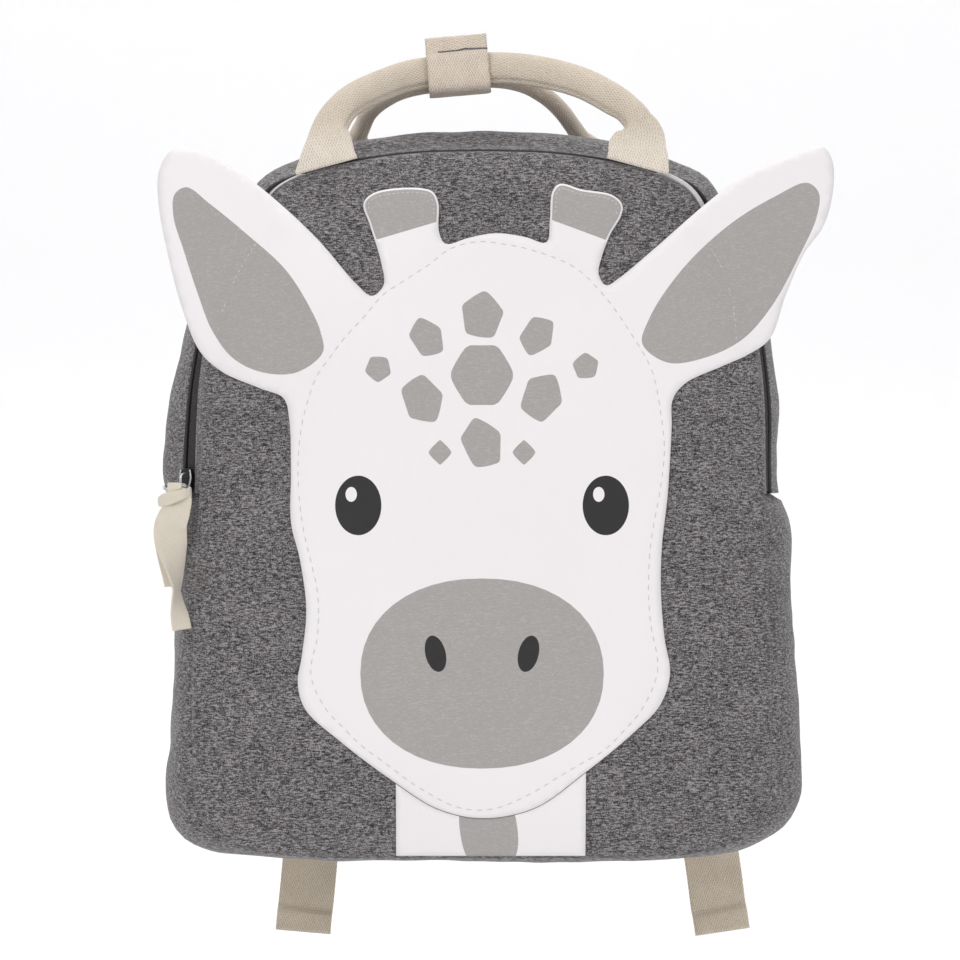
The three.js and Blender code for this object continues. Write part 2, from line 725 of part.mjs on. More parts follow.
const rearHandle = () => {
  const footY = () => baseDepth + clearance + webbingThickness / 2;
  return handle(REAR_HANDLE, rearFootCentre, footY, rearTubeY, rearRise, rearRolledHeight, rearRolledDepth);
};

// The wrap: a band round both rolled handles, its two ends pressed together in a fin on top.
const wrapInner = {
  front: wrapDepth - rolledDepth / 2 - 2 * clearance,
  back: rearTubeY + rearRolledDepth / 2 + 2 * clearance,
  low: rearRise - rearRolledHeight / 2 - 2 * clearance,
  high: handleRise + rolledHeight / 2 + 2 * clearance,
};
const wrapSlope = THREE.MathUtils.degToRad(wrapTilt);
const hangHeight = wrapInner.low - wrapWall - Math.tan(wrapSlope) * wrapMiddle;
const hangDepth = (wrapInner.front + wrapInner.back) / 2;

function handleWrap() {
  const box = (grow) => {
    const [front, back] = [wrapInner.front - grow, wrapInner.back + grow];
    const [low, high] = [wrapInner.low - grow, wrapInner.high + grow];
    const corner = 3 + grow;
    const shape = new THREE.Shape();
    shape.moveTo(front + corner, low);
    shape.lineTo(back - corner, low);
    shape.quadraticCurveTo(back, low, back, low + corner);
    shape.lineTo(back, high - corner);
    shape.quadraticCurveTo(back, high, back - corner, high);
    shape.lineTo(front + corner, high);
    shape.quadraticCurveTo(front, high, front, high - corner);
    shape.lineTo(front, low + corner);
    shape.quadraticCurveTo(front, low, front + corner, low);
    return shape;
  };
  const shape = box(wrapWall);
  shape.holes.push(new THREE.Path(box(0).getPoints(3)));
  const band = new THREE.ExtrudeGeometry(shape, { depth: wrapLength, bevelEnabled: false, curveSegments: 3 });
  // The shape's first axis runs back and its second up, and the extrusion runs across.
  const stand = new THREE.Matrix4().makeBasis(point(0, 1, 0), point(0, 0, 1), point(1, 0, 0));
  band.applyMatrix4(stand).translate(wrapMiddle - wrapLength / 2, 0, 0);
  const sunk = wrapWall / 2;
  const fin = new THREE.BoxGeometry(wrapLength, finThickness, finHeight + sunk);
  fin.translate(wrapMiddle, wrapInner.front + rolledDepth, wrapInner.high + wrapWall + (finHeight - sunk) / 2);
  const centre = point(wrapMiddle, 0, handleRise);
  for (const piece of [band, fin]) {
    piece.translate(-centre.x, 0, -centre.z).rotateY(-wrapSlope).translate(centre.x, 0, centre.z);
  }
  return fromManifold(toManifold(band).add(toManifold(fin)));
}

// A shoulder strap behind the back panel: run as a share of the way from its top to its padded end, across
// as a share of the way from strapTopCentre to strapEndCentre, away as a share of strapStandOff.
const STRAP_RUN = [
  { run: 0, across: 0, away: 0, wide: 0.9 },
  { run: 0.04, across: 0, away: 0, wide: 0.92 },
  { run: 0.14, across: 0.04, away: 0.24, wide: 1 },
  { run: 0.32, across: 0.24, away: 0.68, wide: 1 },
  { run: 0.54, across: 0.6, away: 1, wide: 1 },
  { run: 0.78, across: 0.92, away: 0.9, wide: 0.95 },
  { run: 0.95, across: 1, away: 0.62, wide: 0.82 },
  { run: 1, across: 1, away: 0.62, wide: 0.78 },
];
const backFace = baseDepth + backSwell;
const strapBase = backFace + clearance + strapThickness / 2;

function shoulderStrap(sign) {
  const rows = STRAP_RUN.map((row) => ({
    at: point(
      sign * lerp(strapTopCentre, strapEndCentre, row.across),
      strapBase + row.away * strapStandOff,
      lerp(strapTopHeight, strapEndHeight, row.run),
    ),
    wide: strapWidth * row.wide,
    thick: strapThickness,
    square: 0.55,
  }));
  return bandAlong(smoothStations(rows, 14), 12);
}

// The band sewn over both straps' tops on the back panel.
function strapYoke() {
  const half = strapTopCentre + strapWidth / 2 + 4;
  const low = strapTopHeight + 3 * clearance;
  const geometry = new THREE.BoxGeometry(2 * half, yokeThickness, yokeHeight);
  geometry.translate(0, backFace + clearance + yokeThickness / 2, low + yokeHeight / 2);
  return geometry;
}

// The ladder lock hangs in a short webbing loop below the strap's padded end.
const padEnd = STRAP_RUN[STRAP_RUN.length - 1];
const lockY = strapBase + padEnd.away * strapStandOff;
const lockTop = strapEndHeight - lockDrop;
const lockCentre = (sign) => point(sign * strapEndCentre, lockY, lockTop - lockHeight / 2);
const barBend = Math.hypot(lockBar, lockThickness) / 2 + 1.5 * clearance + webbingThickness / 2;

function lockLoop(sign) {
  const bar = lockCentre(sign).add(point(0, 0, (lockHeight - lockBar) / 2));
  const wide = webbingWidth - 1;
  const end = (side) => ({
    at: point(bar.x, bar.y + side * barBend, strapEndHeight - 3 * clearance),
    wide,
    thick: webbingThickness,
    facing: point(0, side, 0),
  });
  return bandAlong([end(-1), ...halfTurn(bar, barBend, -1, wide, webbingThickness), end(1)]);
}

// The ladder lock: a flat frame with a bar across its middle.
function ladderLock(sign) {
  const outline = (half, tall) => {
    const shape = new THREE.Shape();
    shape.moveTo(-half, -tall);
    shape.lineTo(half, -tall);
    shape.lineTo(half, tall);
    shape.lineTo(-half, tall);
    shape.closePath();
    return shape;
  };
  const frame = outline(lockWidth / 2, lockHeight / 2);
  const slot = (lockHeight - 3 * lockBar) / 2;
  for (const way of [-1, 1]) {
    const hole = outline(lockWidth / 2 - lockBar, slot / 2).getPoints();
    frame.holes.push(new THREE.Path(hole.map((p) => new THREE.Vector2(p.x, p.y + (way * (slot + lockBar)) / 2))));
  }
  const geometry = new THREE.ExtrudeGeometry(frame, { depth: lockThickness, bevelEnabled: false });
  geometry.translate(0, 0, -lockThickness / 2).rotateX(Math.PI / 2);
  const at = lockCentre(sign);
  return geometry.translate(at.x, at.y, at.z);
}

// Where each free webbing end hangs, as shares of anchorCentre, at the base and at its tip.
const TAIL_SPREAD = { left: { base: 0.796, tip: 0.836 }, right: { base: 1.056, tip: 1.125 } };

// The webbing from the base corner up through the ladder lock, over its middle bar and down to its free,
// folded end.
function lowerWebbing(sign) {
  const spread = sign < 0 ? TAIL_SPREAD.left : TAIL_SPREAD.right;
  const bar = lockCentre(sign);
  const near = bar.y - barBend;
  const band = (x, y, z, facing, thick = webbingThickness) => ({
    at: point(x, y, z),
    wide: webbingWidth,
    thick,
    facing,
  });
  const anchorX = sign * anchorCentre;
  const anchorY = backFace + clearance + webbingThickness / 2;
  const rise = [
    band(anchorX, anchorY, anchorTop + 2 * clearance, forward),
    band(anchorX, anchorY, anchorTop + 5, forward),
    band(lerp(anchorX, bar.x, 0.4), lerp(anchorY, near, 0.5), lerp(anchorTop, bar.z, 0.45), forward),
    band(bar.x, near, bar.z - lockHeight / 2 - 4, forward),
  ];
  const tipX = sign * spread.tip * anchorCentre;
  const baseX = sign * spread.base * anchorCentre;
  const hangY = bar.y + barBend;
  const hemTop = hemLength - tailDrop;
  const fall = [
    band(bar.x, hangY, bar.z - lockHeight / 2 - 3, back),
    band(lerp(bar.x, baseX, 0.55), hangY - tailStandOff * 0.3, bar.z * 0.4, back),
    band(baseX, hangY - tailStandOff * 0.7, 0, back),
    band(lerp(baseX, tipX, 0.75), hangY - tailStandOff * 0.9, hemTop + clearance, back),
    band(lerp(baseX, tipX, 0.77), hangY - tailStandOff * 0.9, hemTop, back, hemThickness),
    band(tipX, hangY - tailStandOff, -tailDrop, back, hemThickness),
  ];
  return bandAlong([...rise, ...halfTurn(bar, barBend, 1, webbingWidth, webbingThickness), ...fall]);
}

// A three-cornered patch that fixes the webbing's lower end on the back panel's bottom corner.
function webbingAnchor(sign) {
  const shape = new THREE.Shape();
  const half = webbingWidth / 2 + 5;
  shape.moveTo(-half, -anchorHeight / 2);
  shape.lineTo(half, -anchorHeight / 2);
  shape.lineTo(webbingWidth / 2 + 1, anchorHeight / 2);
  shape.lineTo(-webbingWidth / 2 - 1, anchorHeight / 2);
  shape.closePath();
  const geometry = new THREE.ExtrudeGeometry(shape, { depth: yokeThickness, bevelEnabled: false });
  geometry.rotateX(Math.PI / 2);
  const y = backFace + clearance + yokeThickness;
  return geometry.translate(sign * anchorCentre, y, anchorTop - anchorHeight / 2);
}

// The slider lies over the coil at the left end of the zip, with a wire bail on its outer face.
const sliderHeightOnSeam = zipEndHeight + sliderLength / 2 + 2 * clearance;
const aboveZipEnd = (sliderHeightOnSeam - zipEndHeight) / (seam[leftZipEnd - 1].z - zipEndHeight);
const sliderPlace = seamAt(leftZipEnd - aboveZipEnd);
const sliderSeat = gussetPoint(sliderPlace, flapWidth + zipGap / 2);
const sliderAcross = gussetPoint(sliderPlace, flapWidth).sub(gussetPoint(sliderPlace, zipFrom)).setZ(0).normalize();
const sliderOut = sliderAcross.clone().cross(up);
const sliderBase = sliderSeat.clone().addScaledVector(sliderOut, 1.5 * clearance);

function extrudeAlong(points, depth, first, second, at) {
  const shape = new THREE.Shape(points.map(([u, v]) => new THREE.Vector2(u, v)));
  const geometry = new THREE.ExtrudeGeometry(shape, { depth, bevelEnabled: false });
  geometry.applyMatrix4(new THREE.Matrix4().makeBasis(first, second, first.clone().cross(second)));
  return toManifold(geometry.translate(at.x, at.y, at.z));
}

function zipSlider() {
  const [half, long] = [sliderWidth / 2, sliderLength / 2];
  const plan = [
    [-half * 0.65, -long],
    [half * 0.65, -long],
    [half, long * 0.2],
    [half * 0.8, long],
    [-half * 0.8, long],
    [-half, long * 0.2],
  ];
  // Drawn with its first axis towards the flap and its second up, so its thickness runs outwards.
  const body = extrudeAlong(plan, sliderHeight, sliderAcross, up, sliderBase);
  const [reach, wire] = [bailHeight, bailWire];
  const arch = [
    [1, -long * 0.75],
    [-reach, -long * 0.75],
    [-reach, long * 0.55],
    [1, long * 0.75],
    [1, long * 0.75 - wire],
    [wire - reach, long * 0.55 - wire],
    [wire - reach, wire - long * 0.75],
    [1, wire - long * 0.75],
  ];
  const face = sliderBase.clone().addScaledVector(sliderOut, sliderHeight).addScaledVector(sliderAcross, -wire / 2);
  return fromManifold(body.add(extrudeAlong(arch, wire, sliderOut.clone().negate(), up, face)));
}

// The wire ring runs through the bail, its front side hanging lower, and carries the tape there.
const tilt = THREE.MathUtils.degToRad(ringTilt);
const ringFront = point(0, -Math.cos(tilt), -Math.sin(tilt));
const left = point(-1, 0, 0);
const ringCentre = sliderBase
  .clone()
  .addScaledVector(sliderOut, sliderHeight + bailHeight - bailWire - 1.6 * clearance - ringWire / 2)
  .addScaledVector(up, bailWire + 1.5 * clearance + ringWire / 2 - sliderLength * 0.375)
  .addScaledVector(left, -sliderOut.x * ringRadius)
  .addScaledVector(ringFront, -sliderOut.y * ringRadius);

function pullRing() {
  const steps = 20;
  const axis = left.clone().cross(ringFront);
  const loops = Array.from({ length: steps }, (_, i) => {
    const angle = (2 * Math.PI * i) / steps;
    const away = left.clone().multiplyScalar(Math.cos(angle)).addScaledVector(ringFront, Math.sin(angle));
    const at = ringCentre.clone().addScaledVector(away, ringRadius);
    return Array.from({ length: ringSides }, (_, side) => {
      const turn = (2 * Math.PI * side) / ringSides;
      return at
        .clone()
        .addScaledVector(away, (ringWire / 2) * Math.cos(turn))
        .addScaledVector(axis, (ringWire / 2) * Math.sin(turn));
    });
  });
  return loftLoops(loops, [], true);
}

// The cotton tape, folded over the ring's front side: the two tails' reach down as shares of their lengths,
// their sideways shift and width as shares of tapeWidth, and their distance behind the fold.
const TAPE_REAR = [
  { down: 1, shift: -0.16, wide: 0.34, off: 0.23 },
  { down: 0.5, shift: -0.24, wide: 0.8, off: 0.2 },
  { down: 0.12, shift: 0.02, wide: 0.5, off: 0.19 },
];
const TAPE_FRONT = [
  { down: 0.06, shift: 0.12, wide: 0.8, off: -0.12 },
  { down: 0.27, shift: -0.06, wide: 1, off: -0.13 },
  { down: 0.46, shift: -0.03, wide: 0.75, off: -0.16 },
  { down: 0.63, shift: 0.04, wide: 0.42, off: -0.22 },
  { down: 0.78, shift: 0.14, wide: 0.45, off: -0.28 },
  { down: 1, shift: 0.3, wide: 0.62, off: -0.35 },
];

function pullTape() {
  const gathered = 2 * (ringRadius - ringWire) - 1;
  const sag = ringRadius - Math.sqrt(ringRadius ** 2 - (gathered / 2) ** 2);
  const wire = ringCentre.clone().addScaledVector(ringFront, ringRadius - sag / 2);
  const bend = ringWire / 2 + sag / 2 + 4 * clearance + tapeThickness / 2;
  const tail = (rows, length, facing) =>
    rows.map((row) => ({
      at: point(wire.x + row.shift * tapeWidth, wire.y + row.off * tapeWidth, wire.z - row.down * length),
      wide: tapeWidth * row.wide,
      thick: tapeThickness,
      facing,
    }));
  const over = halfTurn(wire, bend, 1, gathered, tapeThickness).reverse();
  return bandAlong([...tail(TAPE_REAR, shortTapeLength, back), ...over, ...tail(TAPE_FRONT, tapeLength, forward)]);
}

// Finishes
const finish = (colour, roughness, metalness = 0) =>
  new THREE.MeshStandardMaterial({ color: colour, roughness, metalness });
const marl = finish(0x716d6e, 0.95);
const paleMarl = finish(0xb0aba8, 0.92);
const whitePrint = finish(0xf4f1f1, 0.55);
const cotton = finish(0xd6cab8, 0.95);
const tapeCotton = finish(0xe4dacb, 0.95);
const darkNylon = finish(0x2b2a2c, 0.6);
const steel = finish(0xb9b9bb, 0.25, 1);
const lockPlastic = finish(0xcfc4b2, 0.5);

const bag = new THREE.Group();
bag.position.set(0, -hangDepth, -hangHeight);

function add(name, geometry, material) {
  const mesh = new THREE.Mesh(geometry, material);
  mesh.name = name;
  bag.add(mesh);
}

add("front_panel", frontPanel(), marl);
add("back_panel", backPanel(), marl);
add("base_gusset", baseGusset(), marl);
add("zip_flap", zipFlap(), marl);
add("zip_gusset", zipGusset(), marl);
add("zipper", zipper(), darkNylon);
add("seam_binding", seamBinding(), paleMarl);
add("giraffe_head", giraffeHead(), whitePrint);
add("ear_back_left", earBack(LEFT_EAR), paleMarl);
add("ear_back_right", earBack(RIGHT_EAR), paleMarl);
add("neck_patch", neckPatch(), whitePrint);
add("front_handle", frontHandle(), cotton);
add("rear_handle", rearHandle(), cotton);
add("handle_wrap", handleWrap(), cotton);
add("strap_yoke", strapYoke(), marl);
for (const [name, sign] of [["left", -1], ["right", 1]]) {
  add(`shoulder_strap_${name}`, shoulderStrap(sign), marl);
  add(`lock_loop_${name}`, lockLoop(sign), cotton);
  add(`ladder_lock_${name}`, ladderLock(sign), lockPlastic);
  add(`lower_webbing_${name}`, lowerWebbing(sign), cotton);
  add(`webbing_anchor_${name}`, webbingAnchor(sign), marl);
}
add("zip_slider", zipSlider(), steel);
add("pull_ring", pullRing(), steel);
add("pull_tape", pullTape(), tapeCotton);

export default bag;
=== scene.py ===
"""Dresses a kids' animal rucksack in marl cloth, print, cotton webbing and zip over its hard frame.

Sizes are millimetres in the bag's own axes: X to the right seen from the front, Y from front to back,
Z up from the base. ORIGIN moves them to the frame, whose zero is the underside of the handle wrap.
"""

import math

import bmesh
import bpy
import numpy as np
from mathutils import Matrix, Vector, noise
from mathutils.geometry import delaunay_2d_cdt
from mathutils.kdtree import KDTree


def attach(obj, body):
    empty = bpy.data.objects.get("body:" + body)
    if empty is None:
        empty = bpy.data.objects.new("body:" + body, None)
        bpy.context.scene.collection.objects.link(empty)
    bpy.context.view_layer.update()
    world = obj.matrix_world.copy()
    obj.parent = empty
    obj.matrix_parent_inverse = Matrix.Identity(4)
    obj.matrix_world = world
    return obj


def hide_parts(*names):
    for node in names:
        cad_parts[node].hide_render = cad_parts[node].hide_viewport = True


bl_info = {
    "name": "Animal rucksack",
    "version": (1, 0, 0),
    "blender": (4, 5, 0),
    "location": "3D View > Sidebar > Rucksack",
    "description": "Sews a kids' animal rucksack over its frame, piece by piece",
    "category": "Mesh",
}

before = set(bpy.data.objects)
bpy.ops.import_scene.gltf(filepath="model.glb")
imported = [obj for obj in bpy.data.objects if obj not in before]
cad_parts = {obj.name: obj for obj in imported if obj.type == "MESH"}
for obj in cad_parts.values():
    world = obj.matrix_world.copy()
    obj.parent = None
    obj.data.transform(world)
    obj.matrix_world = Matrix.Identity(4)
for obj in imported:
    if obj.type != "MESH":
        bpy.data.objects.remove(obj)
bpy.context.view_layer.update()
MM = 0.001
FOOT_TURN = 24.0  # over this length a handle comes round to its foot
# Along this span of the wrap lies a dark strip that is painted shade for the slit between band and fin
SLIT_START, SLIT_END, SLIT_POINTS = -0.3, 0.5, 18  # along the wrap, as shares of its length
SLIT_RISE, SLIT_WIDE, SLIT_THICK, SLIT_SQUARE = 1.1, 0.75, 0.9, 0.2
CAMERA_X, CAMERA_AWAY, CAMERA_HIGH, HALF_VIEW = -0.91, 2000.0, 171.5, 218.4
FLOOR, COVE_START, COVE_RADIUS = -0.62, 0.5, 0.6  # metres
TUCK = 0.3  # of a place on the seam, how far the base cloth's ends reach under the zip's

# The frame's driving sizes
GAP = 0.3
SEAM_HALF, SEAM_HIGH = 132.5, 322.0
BASE_DEEP, FRONT_LEAN = 100.0, 12.0
CLOTH = 2.0
FRONT_SWELL, BACK_SWELL, BACK_PAD = 16.0, 4.0, 5.0
BASE_SAG, TOP_SWELL, SIDE_SWELL_MOST = 4.0, 12.0, 20.0
ZIP_END, ZIP_NECK = 165.0, 26.0
FLAP, ZIP_GAP, ZIP_BAND = 5.0, 5.0, 16.0
ZIP_TAPE, ZIP_TAPE_THICK = 12.0, 1.0
COIL_WIDE, COIL_HIGH = 3.4, 1.9
BINDING_WIDE = 2.2
HEAD_THICK, EAR_BACK_THICK, EAR_LEAN, NECK_THICK = 1.7, 1.1, 0.16, 0.7
NECK_LEFT, NECK_RIGHT = 39.0, 47.0
WEBBING, WEBBING_THICK = 29.0, 2.0
ROLLED_HIGH, ROLLED_DEEP = 14.5, 9.0
REAR_ROLLED_HIGH, REAR_ROLLED_DEEP = 8.0, 14.0
FOOT, REAR_FOOT = 71.0, 56.0
HANDLE_RISE = SEAM_HIGH + 40.0
REAR_RISE = HANDLE_RISE - 4.2
WRAP_LONG, WRAP_MIDDLE, WRAP_TILT, WRAP_WALL, WRAP_DEEP = 28.6, -11.0, 5.0, 1.8, 43.0
FIN_HIGH, FIN_THICK = 6.0, 4.2
STRAP_WIDE, STRAP_THICK = 46.0, 9.0
STRAP_TOP, STRAP_END = 284.0, 116.0
STRAP_TOP_X, STRAP_END_X, STRAP_OFF = 31.0, 80.0, 17.0
YOKE_HIGH, YOKE_THICK = 24.0, 2.4
TAIL_WIDE = 26.5
LOCK_WIDE, LOCK_HIGH, LOCK_THICK, LOCK_BAR, LOCK_DROP = 35.0, 27.0, 4.0, 3.6, 7.0
TAIL_OFF, ANCHOR_HIGH, ANCHOR_X, ANCHOR_TOP = 7.0, 15.0, SEAM_HALF - 29.5, 24.0
TAIL_DROP, HEM_LONG, HEM_THICK = 46.0, 10.5, 4.6
SLIDER_LONG, SLIDER_WIDE, SLIDER_HIGH = 11.0, 7.5, 2.2
BAIL_HIGH, BAIL_WIRE = 3.2, 1.1
RING_RADIUS, RING_WIRE, RING_TILT = 5.2, 1.4, 17.0
TAPE_WIDE, TAPE_THICK, TAPE_LONG, TAPE_SHORT = 15.0, 1.1, 66.0, 44.0

REAR_TUBE_Y = WRAP_DEEP + ROLLED_DEEP / 2 + 2 * GAP + REAR_ROLLED_DEEP / 2
WRAP_FRONT = WRAP_DEEP - ROLLED_DEEP / 2 - 2 * GAP
WRAP_BACK = REAR_TUBE_Y + REAR_ROLLED_DEEP / 2 + 2 * GAP
WRAP_LOW = REAR_RISE - REAR_ROLLED_HIGH / 2 - 2 * GAP
WRAP_TOP = HANDLE_RISE + ROLLED_HIGH / 2 + 2 * GAP
HANG_HIGH = WRAP_LOW - WRAP_WALL - math.tan(math.radians(WRAP_TILT)) * WRAP_MIDDLE
ORIGIN = np.array([0.0, -(WRAP_FRONT + WRAP_BACK) / 2, -HANG_HIGH])

# The right half of the front seam: shares of SEAM_HALF across and SEAM_HIGH up
SEAM = np.array([
    (0.53, 0), (0.8, 0.012), (0.925, 0.037), (0.978, 0.068), (0.996, 0.15), (0.992, 0.34),
    (0.974, ZIP_END / SEAM_HIGH), (0.96, 0.68), (0.92, 0.775), (0.864, 0.823), (0.79, 0.885),
    (0.712, 0.942), (0.61, 0.966), (0.45, 0.984), (0.24, 0.9965), (0, 1),
])
# Height, and the gusset's swell there on the left and on the right, as shares
SIDE_SWELL = np.array([
    (0.04, 0.87, 0.6), (0.1, 0.73, 0.79), (0.17, 0.62, 0.76), (0.31, 0.52, 0.635), (0.4, 0.53, 0.615),
    (0.465, 0.62, 0.64), (0.52, 0.94, 0.45), (0.55, 1.0, 0.45), (0.63, 0.9, 0.53), (0.72, 0.74, 0.49),
    (0.9, 0.66, 0.72), (1, 0.62, 0.72),
])
# Depth from front seam to back seam, and how far out the gusset stands at its base, zipped sides and top
GUSSET = np.array([
    (0, 0, 0, 0), (0.05, 0.38, 0.13, 0.04), (0.1, 0.6, 0.42, 0.14), (0.16, 0.78, 0.62, 0.3),
    (0.22, 0.9, 0.78, 0.52), (0.32, 1, 0.94, 0.82), (0.5, 1, 1, 1), (0.75, 0.9, 0.88, 0.88),
    (0.91, 0.5, 0.46, 0.46), (1, 0.04, 0.04, 0.04),
])
# Way from the panel's middle to its seam, and rise there
FRONT_DOME = np.array([(0, 1), (0.45, 0.96), (0.7, 0.82), (0.87, 0.54), (0.965, 0.22), (1, 0)])
BACK_DOME = np.array([(0, 1), (0.5, 0.98), (0.86, 0.9), (1, 0)])
STITCH_RING = 0.965

# The giraffe head's cut line, as shares of SEAM_HALF and SEAM_HIGH
RIGHT_CHEEK = [
    (0, 0.0565), (0.179, 0.071), (0.347, 0.12), (0.515, 0.177), (0.608, 0.217), (0.642, 0.261),
    (0.623, 0.311), (0.611, 0.377), (0.615, 0.441), (0.635, 0.512), (0.649, 0.606), (0.653, 0.646),
]
RIGHT_EAR = [
    (0.697, 0.669), (0.817, 0.692), (0.919, 0.711), (0.992, 0.733), (1.048, 0.795), (1.112, 0.854),
    (1.181, 0.894), (1.215, 0.941), (1.215, 0.988), (1.181, 1.008), (1.057, 0.993), (0.906, 0.966),
    (0.773, 0.925), (0.596, 0.861), (0.465, 0.816),
]
RIGHT_HORN = [
    (0.425, 0.807), (0.4, 0.823), (0.411, 0.848), (0.44, 0.879), (0.479, 0.907), (0.483, 0.922),
    (0.449, 0.936), (0.343, 0.944), (0.268, 0.952), (0.242, 0.941), (0.233, 0.901), (0.221, 0.868),
]
CROWN = [(0.145, 0.876), (0.045, 0.881), (-0.045, 0.8745)]
LEFT_HORN = [
    (-0.125, 0.866), (-0.147, 0.882), (-0.151, 0.927), (-0.177, 0.9425), (-0.366, 0.94),
    (-0.4075, 0.924), (-0.385, 0.8925), (-0.347, 0.8415), (-0.337, 0.8075), (-0.377, 0.792),
]
LEFT_EAR = [
    (-0.427, 0.8075), (-0.574, 0.877), (-0.773, 0.951), (-0.887, 0.983), (-0.996, 1.004), (-1.079, 1.001),
    (-1.119, 0.972), (-1.119, 0.9255), (-1.087, 0.857), (-1.034, 0.776), (-0.97, 0.714), (-0.891, 0.685),
    (-0.762, 0.662), (-0.679, 0.6475),
]
LEFT_CHEEK = [
    (-0.66, 0.618), (-0.654, 0.5435), (-0.653, 0.472), (-0.623, 0.422), (-0.6, 0.351), (-0.615, 0.286),
    (-0.629, 0.248), (-0.604, 0.211), (-0.4845, 0.1655), (-0.302, 0.109), (-0.151, 0.07),
]
HEAD = RIGHT_CHEEK + RIGHT_EAR + RIGHT_HORN + CROWN + LEFT_HORN + LEFT_EAR + LEFT_CHEEK

# The face's sewing line and the lines that sew each ear down on the bag's edge, in millimetres
FACE_SEAM = [
    (-83.1, 167), (-81.9, 155.7), (-79.9, 144.4), (-76.5, 130.9), (-74.3, 119.6), (-74.3, 101.5),
    (-77.4, 83.5), (-70.4, 67.7), (-63, 59.8), (-55.1, 51.9), (-46, 45.1), (-28, 32), (-9.9, 23),
    (4.7, 22.5), (21.7, 29.3), (32.9, 36.1), (44.2, 42.9), (55.5, 49.6), (64.5, 58.6), (72.4, 68.1),
    (79.4, 85.7), (76.3, 106), (75.4, 117.3), (75.4, 128.6), (76.3, 142.2), (78.1, 153.4), (80.3, 164.7),
    (82.6, 185), (80.8, 203.1), (77, 221.2), (66.8, 239.2), (55.5, 255), (42, 268.1), (21.7, 276.2),
    (10.4, 278.5), (-0.9, 279.8), (-14.5, 276.5), (-23.5, 269.7), (-34.8, 262.2), (-44.9, 255.5),
    (-53.9, 244.9), (-61.8, 236.5), (-68.6, 227.5), (-74.9, 218.4), (-81, 199.7), (-83.3, 181.7),
]
EAR_SEAMS = (
    [(-102.5, 280.7), (-112.6, 263.6), (-118.9, 246.4), (-120.8, 237)],
    [(103.7, 278.3), (110.3, 266.3), (114.7, 249), (116, 234.3)],
)
# The grey insides of the ears, in millimetres
EAR_INSIDES = (
    [
        (72.7, 233.3), (84, 224.8), (101.1, 227), (118.7, 235.6),
        (132.3, 250.9), (144.4, 272.6), (153.5, 292.5),
        (154.4, 303.3), (149, 307.8), (134.5, 301.5),
        (116.5, 290.7), (98.4, 275.3), (84.9, 259.5), (75.8, 244.6),
    ],
    [
        (-73.1, 238.3), (-78.5, 250.5), (-89.4, 267.2), (-106.5, 283), (-124.6, 297.9), (-135.4, 305.6),
        (-140.8, 302.4), (-141.3, 292.5), (-136.3, 276.2), (-130, 257.3), (-122.8, 239.2), (-112.9, 226.6),
        (-99.3, 220.3), (-84, 220.3), (-72.2, 229.3),
    ],
)
# The two ends of the line below which each horn is white
HORN_CUTS = (((-47.1, 280.8), (-21.3, 288)), ((32.5, 288.8), (55.1, 280.8)))

# Handles from the left foot to the right: across, up, back and roll, as shares
FRONT_HANDLE = [
    (-0.99, 0.245, 0.07, 0.5), (-0.975, 0.41, 0.16, 0.88), (-0.905, 0.585, 0.3, 1), (-0.8, 0.72, 0.5, 1),
    (-0.617, 0.857, 0.75, 1), (-0.49, 0.935, 0.93, 1), (-0.37, 0.973, 1, 1), (-0.16, 1, 1, 1),
    (0.06, 1.022, 1, 1), (0.244, 1.01, 0.96, 1), (0.437, 0.957, 0.85, 1), (0.66, 0.845, 0.62, 1),
    (0.855, 0.672, 0.36, 1), (0.94, 0.58, 0.27, 1.08), (1.005, 0.46, 0.18, 1.05), (1.03, 0.335, 0.1, 0.55),
    (1.01, 0.2, 0.04, 0.1),
]
REAR_HANDLE = [
    (-1.07, 0.25, 0, 0.4), (-1.06, 0.42, 0.1, 0.95), (-1.01, 0.56, 0.3, 1), (-0.95, 0.69, 0.5, 1),
    (-0.84, 0.8, 0.72, 1), (-0.67, 0.9, 0.92, 1), (-0.42, 0.967, 1, 1), (0.08, 1.028, 1, 1),
    (0.35, 0.97, 0.94, 1), (0.54, 0.84, 0.8, 1), (0.67, 0.7, 0.56, 1), (0.77, 0.545, 0.3, 1),
    (0.85, 0.41, 0.1, 0.97), (0.94, 0.28, 0.01, 0.7),
]
# A shoulder strap from its top to its padded end: run, across, away from the back, width, as shares
STRAP_RUN = [
    (0, 0, 0, 0.9), (0.04, 0, 0, 0.92), (0.14, 0.04, 0.24, 1), (0.32, 0.24, 0.68, 1), (0.54, 0.6, 1, 1),
    (0.78, 0.92, 0.9, 0.95), (0.95, 1, 0.62, 0.82), (1, 1, 0.62, 0.78),
]
# Where a free webbing end hangs, at the base and at its tip, as shares of ANCHOR_X
TAIL_SPREAD = {-1: (0.796, 0.836), 1: (1.056, 1.125)}
# The pull tape's two ends: down, shift, width, off the fold
TAPE_REAR = [(1, -0.16, 0.34, 0.23), (0.5, -0.24, 0.8, 0.2), (0.12, 0.02, 0.5, 0.19)]
# Its front end also has the turn of its face to the right, in degrees
TAPE_FRONT = [
    (0.05, 0.12, 0.78, -0.12, 0), (0.13, 0.06, 0.86, -0.2, 0), (0.25, -0.12, 1.02, -0.15, -8),
    (0.38, -0.1, 1, -0.15, 20), (0.5, -0.02, 0.9, -0.18, 45), (0.62, 0.05, 0.8, -0.22, 66),
    (0.69, 0.07, 0.7, -0.25, 76), (0.77, 0.1, 0.66, -0.28, 62), (0.86, 0.16, 0.64, -0.31, 38),
    (0.96, 0.24, 0.6, -0.35, 18),
]

